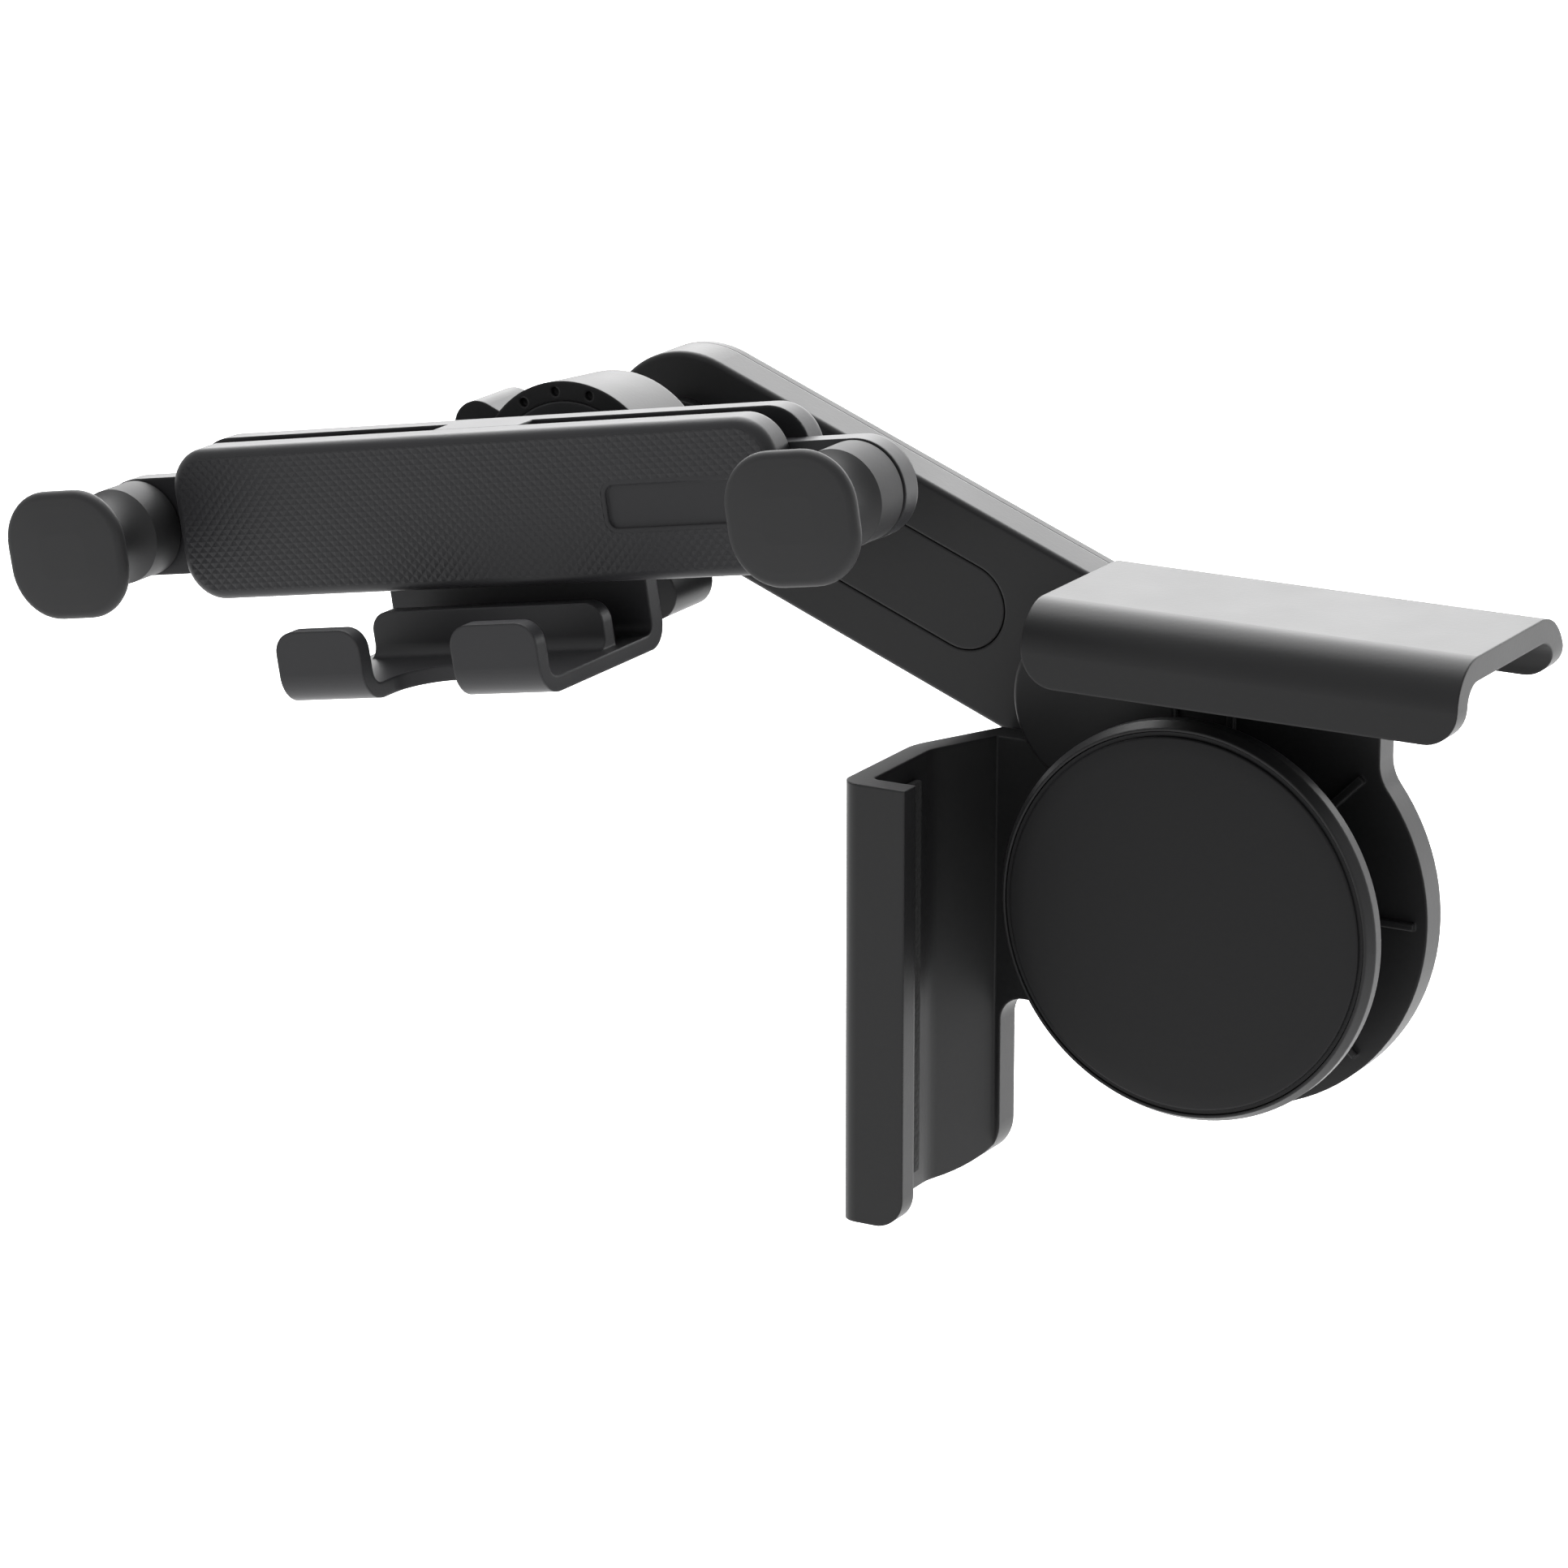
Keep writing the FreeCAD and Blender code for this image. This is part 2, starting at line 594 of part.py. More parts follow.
def build_pivot():
    cap = new_body("pivot_cap")
    disc = extrude_front(cap, "cap", plate_front - cap_thick, cap_thick, lambda s: circle(s, 0, 0, cap_rad))
    soften(cap, disc, cap_thick * 0.5, lambda e, m, d: near(e.CenterOfMass.y, plate_front - cap_thick))
    arm_back = arm_front + arm_shell_thick
    head_front = plate_front + bolt_sink
    head_back = head_front + bolt_head_high
    bolt_end = arm_back - bolt_sink
    bolt = turned("pivot_bolt", [
        (0, head_front), (bolt_head, head_front), (bolt_head, head_back), (bolt_rad, head_back),
        (bolt_rad, bolt_end), (0, bolt_end)])
    washer = turned("pivot_washer", [
        (bolt_rad + fit_slide, plate_back), (washer_rad, plate_back), (washer_rad, arm_front),
        (bolt_rad + fit_slide, arm_front)])
    nut = new_body("pivot_nut")
    extrude_front(nut, "hexagon", arm_back - bolt_nut_high, bolt_nut_high - bolt_sink,
                  lambda s: polygon(s, hexagon(bolt_nut_rad)))
    cut_front(nut, "nut_bore", arm_back - bolt_nut_high - PAST, bolt_nut_high + PAST * 2,
              lambda s: circle(s, 0, 0, bolt_rad + fit_seat))
    for b in (cap, bolt, washer):
        at_pivot(b)
    at_pivot(nut, arm_rise)
    return [cap, bolt, washer, nut]


def stadium(body, name, y, length, near_x, far_x, half, cut=False):
    """Round-ended bar outline lying along -X, padded or cut towards the back."""
    act = cut_front if cut else extrude_front
    act(body, name + "_bar", y, length, lambda s: rectangle(s, -far_x, -half, -near_x, half))
    act(body, name + "_end_a", y, length, lambda s: circle(s, -near_x, 0, half))
    return act(body, name + "_end_b", y, length, lambda s: circle(s, -far_x, 0, half))


def build_arm():
    """Arm shell, its rear cover, the flush front inlay and the cover screws, lying along -X."""
    arm_back = arm_front + arm_shell_thick
    shell = new_body("arm_shell")
    bar = stadium(shell, "shell", arm_front, arm_shell_thick, ZERO, arm_long, arm_half)
    soften(shell, bar, edge_soft, lambda e, m, d: near(m.y, arm_front)
           and abs(d.y) < 1e-3 and e.Length > arm_skin.value)
    hollow = arm_front + arm_skin
    stadium(shell, "hollow", hollow, arm_shell_thick, hollow_near, arm_long - hollow_near,
            arm_half - arm_wall, True)
    stadium(shell, "inlay_seat", arm_front - PAST, inlay_thick + PAST, inlay_near, inlay_far,
            inlay_half + seam, True)
    through = arm_shell_thick + PAST * 2
    cut_front(shell, "pivot_hole", arm_front - PAST, through,
              lambda s: circle(s, 0, 0, bolt_rad + fit_run))
    cut_front(shell, "nut_seat", arm_back - bolt_nut_high, bolt_nut_high + PAST,
              lambda s: polygon(s, hexagon(bolt_nut_rad + fit_slide)))
    cut_front(shell, "stud_hole", arm_front - PAST, through,
              lambda s: circle(s, -arm_long, 0, stem_rad + fit_seat))
    cover = new_body("arm_rear_cover")
    lid = stadium(cover, "cover", arm_back, arm_cover_thick, ZERO, arm_long, arm_half)
    soften(cover, lid, edge_soft, lambda e, m, d: near(m.y, arm_back + arm_cover_thick)
           and abs(d.y) < 1e-3 and e.Length > arm_skin.value)
    spots = [(x, cover_screw_up * up) for x in (-cover_screw_in, cover_screw_in - arm_long) for up in (1, -1)]
    for i, (x, z) in enumerate(spots):
        cut_front(cover, "screw_seat_%d" % i, arm_back - PAST, arm_cover_thick + PAST * 2,
                  lambda s: circle(s, x, z, screw_head + screw_room))
        cut_front(shell, "screw_hole_%d" % i, arm_back - cover_shank, cover_shank + PAST,
                  lambda s: circle(s, x, z, screw_shank + fit_seat))
    inlay = new_body("arm_inlay")
    stadium(inlay, "inlay", arm_front, inlay_thick, inlay_near, inlay_far, inlay_half)
    for b in (shell, cover, inlay):
        at_pivot(b, arm_rise)
    screws = screw_group("arm_screws", spots, arm_back + arm_cover_thick - screw_sink, cover_shank)
    at_pivot(screws, arm_rise)
    return [shell, cover, inlay, screws]


def screw_group(name, spots, head_y, length):
    """Small pan screws, all alike, driven forwards from the plane head_y."""
    made = []
    for i, (x, z) in enumerate(spots):
        pieces = []
        for piece, rad, high in (("head", screw_head, screw_head_high), ("shank", screw_shank, length)):
            c = doc.addObject("Part::Cylinder", "%s_%s_%d" % (name, piece, i))
            bind(c, "Radius", rad)
            bind(c, "Height", high)
            c.Placement = FreeCAD.Placement(V(0, 0, 0), FreeCAD.Rotation(AXIS_X, 90))
            bind(c, "Placement.Base.x", Dim.of(x))
            bind(c, "Placement.Base.y", head_y)
            bind(c, "Placement.Base.z", Dim.of(z))
            pieces.append(c)
        made.append(joined("%s_%d" % (name, i), *pieces))
    group = doc.addObject("Part::Compound", name)
    group.Links = made
    doc.recompute()
    return group


def ball_centre():
    """Where the ball sits, straight in front of the arm's free end."""
    rise = math.radians(arm_rise.value)
    return V(-pivot_x.value - arm_long.value * math.cos(rise), ball_y.value,
             pivot_z.value + arm_long.value * math.sin(rise))


def sphere(name, rad, low=Dim.of(-90), high=Dim.of(90)):
    """Ball about the origin whose poles lie on Y; low and high are latitudes, +90 at the back."""
    s = doc.addObject("Part::Sphere", name)
    bind(s, "Radius", rad)
    bind(s, "Angle1", low)
    bind(s, "Angle2", high)
    s.Placement = FreeCAD.Placement(V(0, 0, 0), FreeCAD.Rotation(AXIS_X, -90))
    return s


def rod(name, rad, start, length):
    """Cylinder on the Y axis from start towards the back."""
    c = doc.addObject("Part::Cylinder", name)
    bind(c, "Radius", rad)
    bind(c, "Height", Dim.of(length))
    c.Placement = FreeCAD.Placement(V(0, 0, 0), FreeCAD.Rotation(AXIS_X, -90))
    c.setExpression("Placement.Base.y", Dim.of(start).text)
    return c


def joined(name, first, *others):
    """Chain of fuses ending in an object called name."""
    for i, o in enumerate(others):
        f = doc.addObject("Part::Fuse", name if i == len(others) - 1 else "%s_join_%d" % (name, i))
        f.Base = first
        f.Tool = o
        first = f
    doc.recompute()
    return first


def minus(name, first, *others):
    """Chain of cuts ending in an object called name."""
    for i, o in enumerate(others):
        f = doc.addObject("Part::Cut", name if i == len(others) - 1 else "%s_cut_%d" % (name, i))
        f.Base = first
        f.Tool = o
        first = f
    doc.recompute()
    return first


liner_in = ball_rad + fit_run
liner_out = liner_in + liner_thick
shell_rad = liner_out + fit_run


def build_ball_joint():
    """Ball stud on the arm, the two friction liners round the ball and the lugged ring nut."""
    stem_end = ball_stand + stem_sink
    stud = joined("ball_stud", sphere("stud_ball", ball_rad), rod("stud_stem", stem_rad, ball_rad * 0.6,
                                                                  stem_end - ball_rad * 0.6),
                  rod("stud_collar", collar_rad, ball_stand - collar_thick, collar_thick))
    ring = minus("rear_ball_liner",
                 sphere("rear_liner_out", liner_out, rear_liner_low_angle, rear_liner_high_angle),
                 sphere("rear_liner_in", liner_in))
    cup = minus("front_ball_liner",
                sphere("front_liner_out", liner_out, -front_liner_high_angle, -front_liner_low_angle),
                sphere("front_liner_in", liner_in))
    outer = doc.addObject("Part::Cone", "nut_barrel")
    bind(outer, "Radius1", nut_front_rad)
    bind(outer, "Radius2", nut_back_rad)
    bind(outer, "Height", nut_front_off + nut_back_off)
    outer.Placement = FreeCAD.Placement(V(0, 0, 0), FreeCAD.Rotation(AXIS_X, -90))
    bind(outer, "Placement.Base.y", -nut_front_off)
    blank = nut_lugs(outer)
    nut = minus("ball_nut", blank, rod("nut_thread", socket_rad + fit_run, -nut_front_off - PAST,
                                       nut_front_off + PAST - socket_mouth + nut_slack),
                sphere("nut_seat_ball", shell_rad),
                rod("nut_mouth_cut", nut_mouth, ZERO, nut_back_off + PAST),
                nut_dimples())
    at_ball = FreeCAD.Placement(ball_centre(), FreeCAD.Rotation())
    for o in (stud, ring, cup, nut):
        o.Placement = at_ball
    doc.recompute()
    return [stud, ring, cup, nut]


def nut_dimples():
    """Ring of small blind holes for the front face of the ring nut."""
    holes = []
    count = int(dimple_count.value)
    ring = (socket_rad + nut_front_rad) / 2
    for i in range(count):
        turn = 2 * math.pi * (i + 0.5) / count
        hole = rod("nut_dimple_%d" % i, dimple_rad, -nut_front_off - PAST, dimple_deep + PAST)
        bind(hole, "Placement.Base.x", ring * math.cos(turn))
        bind(hole, "Placement.Base.z", ring * math.sin(turn))
        holes.append(hole)
    group = doc.addObject("Part::Compound", "nut_dimples")
    group.Links = holes
    return group


def nut_lugs(barrel):
    """Two finger lugs standing out from the ring nut, above on the left and below on the right."""
    lugs = []
    width = nut_front_off + nut_back_off - lug_inset * 2
    for name, angle in (("upper", upper_lug_angle), ("lower", lower_lug_angle)):
        bar = doc.addObject("Part::Box", name + "_lug_bar")
        bind(bar, "Length", lug_reach - lug_half)
        bind(bar, "Width", width)
        bind(bar, "Height", lug_half * 2)
        tip = doc.addObject("Part::Cylinder", name + "_lug_tip")
        bind(tip, "Radius", lug_half)
        bind(tip, "Height", width)
        turn = FreeCAD.Rotation(AXIS_Y, -angle.value)
        out = turn.multVec(V((lug_reach - lug_half).value, 0, 0))
        up = turn.multVec(V(0, 0, lug_half.value))
        start = V(0, (lug_inset - nut_front_off).value, 0)
        bar.Placement = FreeCAD.Placement(start - up, turn)
        tip.Placement = FreeCAD.Placement(start + out, FreeCAD.Rotation(AXIS_X, -90))
        lugs += [bar, tip]
    return joined("nut_blank", barrel, *lugs)


def cradle_place():
    """Cradle frame: its origin is the middle of the front face, rolled up to the right."""
    turn = FreeCAD.Rotation(AXIS_Y, -cradle_roll.value)
    reach = face_thick + slot_deep + back_thick + hub_gap + nut_front_off
    hub = V(0, reach.value, -hub_drop.value)
    return FreeCAD.Placement(ball_centre() - turn.multVec(hub), turn)


def in_cradle(obj, x=ZERO, y=ZERO, z=ZERO):
    """Put an object at a point of the cradle's own frame."""
    spot = FreeCAD.Placement(V(x.value, y.value, z.value), FreeCAD.Rotation())
    obj.Placement = cradle_place().multiply(spot)
    doc.recompute()
    return obj


slot_front = face_thick
slot_back = face_thick + slot_deep
shell_back = slot_back + back_thick
mech_y = slot_front + fit_slide
mech_thick = slot_deep - fit_slide * 2
gear_rad = gear_mod * gear_teeth / 2
spring_pocket = spring_rad + spring_step * spring_halves + spring_strip + spring_room
grip_z = -grip_drop


def rounded_plate(body, name, y, thick, half_x, half_z, rad):
    f = extrude_front(body, name, y, thick, lambda s: rectangle(s, -half_x, -half_z, half_x, half_z))
    return soften(body, f, rad, lambda e, m, d: along(d, AXIS_Y) and near(abs(m.x), half_x))


def build_cradle_shells():
    face = new_body("cradle_front_plate")
    f = rounded_plate(face, "face", ZERO, face_thick, face_half, face_high, face_rad)
    soften(face, f, edge_soft * 2, lambda e, m, d: near(m.y, 0) and abs(d.y) < 1e-3)
    inset = cut_front(face, "inset", ZERO - PAST, inset_deep + PAST,
                      lambda s: rectangle(s, inset_near, -inset_low, inset_far, inset_top))
    soften(face, inset, inset_rad, lambda e, m, d: along(d, AXIS_Y) and near(m.y, inset_deep / 2)
           and (near(m.x, inset_near) or near(m.x, inset_far)))
    cut_front(face, "spring_pocket", face_thick - spring_deep, spring_deep + PAST,
              lambda s: circle(s, 0, grip_z, spring_pocket))
    extrude_front(face, "gear_pin", face_thick - spring_deep - SUNK, spring_deep + slot_deep,
                  lambda s: circle(s, 0, grip_z, gear_pin))
    spots = [(post_out * side, post_up) for side in (-1, 1)]
    for i, (x, z) in enumerate(spots):
        extrude_front(face, "screw_post_%d" % i, face_thick - SUNK, slot_deep + SUNK,
                      lambda s: circle(s, x, z, post_rad))
        cut_front(face, "screw_core_%d" % i, slot_front, slot_deep + PAST,
                  lambda s: circle(s, x, z, screw_shank + fit_seat))
    back = new_body("cradle_rear_blank")
    f = rounded_plate(back, "back", slot_back, back_thick, back_half, face_high, face_rad)
    soften(back, f, edge_soft * 2, lambda e, m, d: near(m.y, shell_back) and abs(d.y) < 1e-3)
    extrude_front(back, "bridge", slot_front, slot_deep + SUNK, lambda s: rectangle(
        s, -bridge_half, face_high - bridge_high, bridge_half, face_high))
    cut_front(back, "tongue_way", slot_back - SUNK, tongue_thick + fit_slide * 2 + SUNK, lambda s: rectangle(
        s, -tongue_half - fit_slide, -face_high - PAST, tongue_half + fit_slide, tongue_top + tongue_room))
    seat = screw_head_high + screw_sink
    for i, (x, z) in enumerate(spots):
        cut_front(back, "head_seat_%d" % i, shell_back - seat, seat + PAST,
                  lambda s: circle(s, x, z, screw_head + screw_room))
        cut_front(back, "shank_hole_%d" % i, slot_back - PAST, back_thick + PAST,
                  lambda s: circle(s, x, z, screw_shank + screw_room))
    extrude_front(back, "hub_neck", shell_back - SUNK, hub_gap + SUNK * 2,
                  lambda s: circle(s, 0, -hub_drop, neck_rad))
    ball_local = shell_back + hub_gap + nut_front_off
    extrude_front(back, "hub_socket", shell_back + hub_gap, nut_front_off - socket_mouth,
                  lambda s: circle(s, 0, -hub_drop, socket_rad))
    bowl = doc.addObject("Part::Sphere", "socket_bowl")
    bind(bowl, "Radius", shell_rad)
    bowl.Placement.Base = V(0, ball_local.value, -hub_drop.value)
    bind(bowl, "Placement.Base.y", ball_local)
    bind(bowl, "Placement.Base.z", -hub_drop)
    hollowed = doc.addObject("Part::Cut", "cradle_rear_shell")
    hollowed.Base = back
    hollowed.Tool = bowl
    doc.recompute()
    screws = screw_group("cradle_screws", spots, shell_back - screw_sink, cradle_shank)
    return [face, hollowed, screws]


tooth_pitch = gear_mod * math.pi
rack_long = tooth_pitch * (rack_count - 1)
tail_end = rack_long + rack_margin
carrier_inner = tail_end + rack_gap
rack_low = gear_rad + gear_ded
rack_high = rack_low + tail_high


def tooth_half():
    """Half the thickness of a tooth on the pitch line, less its share of the backlash."""
    return math.pi * gear_mod.value / 4 - gear_slack.value / 2


def tooth_outline():
    """Rack tooth in (along, towards the pinion) pairs, symmetric about its own middle."""
    slope = math.tan(math.radians(gear_press.value))
    foot_at = gear_ded.value + tail_high.value / 2
    half = tooth_half()
    root = half + foot_at * slope
    tip = half - gear_add.value * slope
    return [(-root, -foot_at), (root, -foot_at), (tip, gear_add.value), (-tip, gear_add.value)]


def build_side_arm(name, side):
    """Flat sliding arm with a round outer end and a toothed tail that reaches past the pinion."""
    b = new_body(name)
    extrude_front(b, name + "_flat", mech_y, mech_thick, lambda s: rectangle(
        s, carrier_inner * side, grip_z - carrier_half, grip_out * side, grip_z + carrier_half))
    extrude_front(b, name + "_end", mech_y, mech_thick,
                  lambda s: circle(s, grip_out * side, grip_z, carrier_half))
    extrude_front(b, name + "_tail", mech_y, mech_thick, lambda s: rectangle(
        s, -tail_end * side, grip_z + rack_low * side, (carrier_inner + tail_high) * side,
        grip_z + rack_high * side))
    odd_teeth = int(gear_teeth.value) % 2
    phase = tooth_pitch.value / 2 * odd_teeth if side < 0 else 0
    outline = [(side * (x - rack_long.value + phase), grip_z.value + side * (gear_rad.value - y))
               for x, y in tooth_outline()]
    tooth = extrude_front(b, name + "_tooth", mech_y, mech_thick, lambda s: polygon(s, outline))
    row = b.newObject("PartDesign::LinearPattern", name + "_rack")
    row.Originals = [tooth]
    row.Direction = (origin_feature(b, "X_Axis"), [""])
    row.Length = rack_long.value
    row.Occurrences = int(rack_count.value)
    row.Reversed = side < 0
    b.Tip = row
    doc.recompute()
    return b


def build_pinion():
    """Pinion on the moulded pin of the front plate, with a gap facing each rack at rest."""
    b = new_body("drive_pinion")
    teeth = int(gear_teeth.value)
    press = math.radians(gear_press.value)
    pitch_rad = gear_rad.value
    base = pitch_rad * math.cos(press)
    extrude_front(b, "pinion_root", mech_y, mech_thick, lambda s: circle(s, 0, 0, gear_rad - gear_ded))

    def flank(r, hand):
        lean = math.acos(min(1.0, base / r)) if r > base else 0.0
        half = tooth_half() / pitch_rad + math.tan(press) - press - math.tan(lean) + lean
        turn = math.pi / teeth + hand * half
        return (r * math.sin(turn), r * math.cos(turn))
    rings = [pitch_rad - gear_ded.value - SUNK, base, pitch_rad, pitch_rad + gear_add.value]
    outline = [flank(r, 1) for r in rings] + [flank(r, -1) for r in reversed(rings)]
    tooth = extrude_front(b, "pinion_tooth", mech_y, mech_thick, lambda s: polygon(s, outline))
    wheel = b.newObject("PartDesign::PolarPattern", "pinion_teeth")
    wheel.Originals = [tooth]
    wheel.Axis = (origin_feature(b, "Y_Axis"), [""])
    wheel.Angle = 360
    wheel.Occurrences = teeth
    b.Tip = wheel
    doc.recompute()
    cut_front(b, "pinion_bore", mech_y - PAST, mech_thick + PAST * 2,
              lambda s: circle(s, 0, 0, gear_pin + fit_run))
    return b


def half_ring(sk, x, rad, thick, upper):
    """Half of a flat ring about (x, 0), above or below that point."""
    start = 0 if upper else math.pi
    centre = V(x.value, 0, 0)
    arcs = []
    for r in (rad, rad + thick):
        whole = Part.Circle(centre, V(0, 0, 1), r.value)
        arcs.append(sk.addGeometry(Part.ArcOfCircle(whole, start, start + math.pi), False))
        c = sk.addConstraint(Sketcher.Constraint("Radius", arcs[-1], r.value))
        sk.setExpression("Constraints[%d]" % c, r.text)
        pin_point(sk, arcs[-1], 3, x, ZERO)
    for end in (1, 2):
        points = [sk.getPoint(arc, end) for arc in arcs]
        line = sk.addGeometry(Part.LineSegment(*points), False)
        for pos, arc in zip((1, 2), arcs):
            sk.addConstraint(Sketcher.Constraint("Coincident", line, pos, arc, end))
        sk.addConstraint(Sketcher.Constraint("PointOnObject", arcs[0], end, -1))
        sk.addConstraint(Sketcher.Constraint("Horizontal", line))


def build_spring():
    """Closing spring: a flat strip wound in growing half turns round the pinion's pin."""
    b = new_body("closing_spring")
    rad = spring_rad
    for i in range(int(spring_halves.value)):
        shift = spring_step * (i % 2)
        extrude_front(b, "spring_half_%d" % i, ZERO, spring_wide,
                      lambda s: half_ring(s, shift, rad, spring_strip, i % 2 == 0))
        rad = rad + spring_step
    return b


def build_grip(name):
    """Soft spool for the end of a side arm: squared flange, hollow neck and round base."""
    b = new_body(name)
    flange_back = grip_flange - grip_front
    f = extrude_front(b, name + "_flange", -grip_front, grip_flange, lambda s: rectangle(
        s, -grip_wide, -grip_high, grip_wide, grip_high))
    f = soften(b, f, grip_round, lambda e, m, d: along(d, AXIS_Y))
    soften(b, f, grip_soft, lambda e, m, d: abs(d.y) < 1e-3)
    sk = new_sketch(b, name + "_spool", "XY_Plane")
    top = (grip_neck, flange_back)
    low = (grip_base, -grip_base_front)
    chain = [low, (grip_base, mech_y), (ZERO, mech_y), (ZERO, flange_back - SUNK),
             (grip_neck, flange_back - SUNK), top]
    for (ax, ay), (bx, by) in zip(chain, chain[1:]):
        sk.addGeometry(Part.LineSegment(V(ax.value, ay.value, 0), V(bx.value, by.value, 0)), False)
    arc = sk.addGeometry(hollow_arc(top, low, grip_hollow), False)
    for i in range(len(chain) - 2):
        sk.addConstraint(Sketcher.Constraint("Coincident", i, 2, i + 1, 1))
    ends = [sk.getPoint(arc, 1), V(top[0].value, top[1].value, 0)]
    first = 1 if (ends[0] - ends[1]).Length < SUNK else 2
    sk.addConstraint(Sketcher.Constraint("Coincident", arc - 1, 2, arc, first))
    sk.addConstraint(Sketcher.Constraint("Coincident", arc, 3 - first, 0, 1))
    for i, (x, y) in enumerate(chain[:-1]):
        pin_point(sk, i, 1, x, y)
    pin_point(sk, arc - 1, 2, *top)
    c = sk.addConstraint(Sketcher.Constraint("Radius", arc, grip_hollow.value))
    sk.setExpression("Constraints[%d]" % c, grip_hollow.text)
    doc.recompute()
    revolve(b, sk, "Y_Axis")
    return b


def hollow_arc(start, end, rad):
    """Arc of the given radius between two points, hollowed towards the Y axis."""
    a, b = [V(p[0].value, p[1].value, 0) for p in (start, end)]
    half = (b - a) * 0.5
    inward = V(-abs(half.y), half.x * (1 if half.y > 0 else -1), 0).normalize()
    sag = rad.value - math.sqrt(rad.value ** 2 - half.Length ** 2)
    return Part.Arc(a, a + half + inward * sag, b)


def build_foot():
    """Sliding foot: bent strip with two hooks, upright back and the tongue that runs in the rear shell."""
    b = new_body("foot_bracket")
    tongue_y = slot_back + fit_slide
    rear = tongue_y + foot_rear_thick
    low = -foot_low
    floor_top = low + foot_floor
    hook_back = foot_lip - foot_reach
    inner = foot_half - foot_tab
    sk = new_sketch(b, "foot_profile", "YZ_Plane", -foot_half)
    polygon(sk, [(-foot_reach, low), (rear, low), (rear, -foot_rear_top), (tongue_y, -foot_rear_top),
                 (tongue_y, floor_top), (hook_back, floor_top), (hook_back, -foot_lip_top),
                 (-foot_reach, -foot_lip_top)])
    doc.recompute()
    f = pad(b, sk, foot_half * 2)
    f = soften(b, f, foot_bend, lambda e, m, d: along(d, AXIS_X) and near(m.z, floor_top))
    f = soften(b, f, foot_front_bend, lambda e, m, d: along(d, AXIS_X) and near(m.z, low)
               and near(m.y, -foot_reach))
    soften(b, f, foot_corner, lambda e, m, d: along(d, AXIS_X) and near(m.z, low) and near(m.y, rear))
    sk = new_sketch(b, "notch", "XY_Plane", low - PAST)
    rectangle(sk, -inner, -foot_reach - PAST, inner, -foot_notch)
    doc.recompute()
    f = pocket(b, sk, foot_low - foot_lip_top + PAST * 2, True)
    f = soften(b, f, foot_notch_rad, lambda e, m, d: along(d, AXIS_Z) and near(m.y, -foot_notch))
    soften(b, f, foot_tab_rad, lambda e, m, d: along(d, AXIS_Y) and near(m.z, -foot_lip_top))
    f = extrude_front(b, "upright", ZERO, foot_back_thick, lambda s: rectangle(
        s, -foot_back_half, floor_top - SUNK, foot_back_half, -foot_back_top))
    f = soften(b, f, foot_bend, lambda e, m, d: along(d, AXIS_X) and near(m.y, 0) and near(m.z, floor_top))
    soften(b, f, foot_back_rad, lambda e, m, d: along(d, AXIS_Y) and near(m.z, -foot_back_top))
    extrude_front(b, "tongue", tongue_y, tongue_thick, lambda s: rectangle(
        s, -tongue_half, -foot_rear_top - SUNK, tongue_half, tongue_top))
    return [b]


def build_liners():
    """Foam strips that keep the two hooks from marking the screen."""
    roof = doc.addObject("Part::Box", "top_clip_liner")
    bind(roof, "Length", top_left + top_right - foam_inset * 2)
    bind(roof, "Width", plate_front + lip_front - top_front_rad - top_rear_rad)
    bind(roof, "Height", liner_foam)
    bind(roof, "Placement.Base.x", -top_left + foam_inset)
    bind(roof, "Placement.Base.y", -lip_front + top_front_rad)
    bind(roof, "Placement.Base.z", top_z - wall - liner_foam)
    side = doc.addObject("Part::Box", "side_clip_liner")
    bind(side, "Length", liner_foam)
    bind(side, "Width", lip_front - wall - foam_side)
    bind(side, "Height", side_low + side_top - foam_inset * 2)
    bind(side, "Placement.Base.x", -side_left + wall)
    bind(side, "Placement.Base.y", -lip_front + wall + foam_side)
    bind(side, "Placement.Base.z", -side_low + foam_inset)
    doc.recompute()
    return [roof, side]


NODES = {}


def keep(obj):
    NODES[obj.Name] = obj


keep(build_clamp_frame())
for part in build_clamp_screw() + build_pivot() + build_arm() + build_ball_joint() + build_liners():
    keep(part)
for part in build_cradle_shells() + build_foot():
    keep(in_cradle(part))
for word, hand in (("left", -1), ("right", 1)):
    keep(in_cradle(build_side_arm(word + "_arm", hand)))
    keep(in_cradle(build_grip(word + "_grip"), grip_out * hand, ZERO, grip_z))
keep(in_cradle(build_pinion(), ZERO, ZERO, grip_z))
keep(in_cradle(build_spring(), ZERO, face_thick - spring_deep, grip_z))

for obj in doc.Objects:
    if "Invalid" in obj.State or "Error" in obj.State:
        raise RuntimeError("object in error: " + obj.Name)
os.makedirs("parts", exist_ok=True)
for node, obj in NODES.items():
    shape = obj.Shape
    if shape.isNull() or not shape.isValid() or not shape.Solids:
        raise RuntimeError("bad shape: " + node)
    shape.exportStep("parts/%s.step" % node)
    print(node, len(shape.Solids), round(shape.Volume, 1))
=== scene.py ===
"""Car phone holder: fine pieces, finishes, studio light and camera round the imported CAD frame.

Sizes and places are in millimetres, in the part's shared frame: X to the right, Y back, Z up, from
the middle of the pad's face. Where they aren't, a name, a comment or a docstring says so.
"""

from __future__ import annotations

import json
import logging
import math
from dataclasses import dataclass
from enum import Enum
from typing import Any, Callable, Iterable, Sequence

import bmesh
import bpy
from mathutils import Matrix, Vector

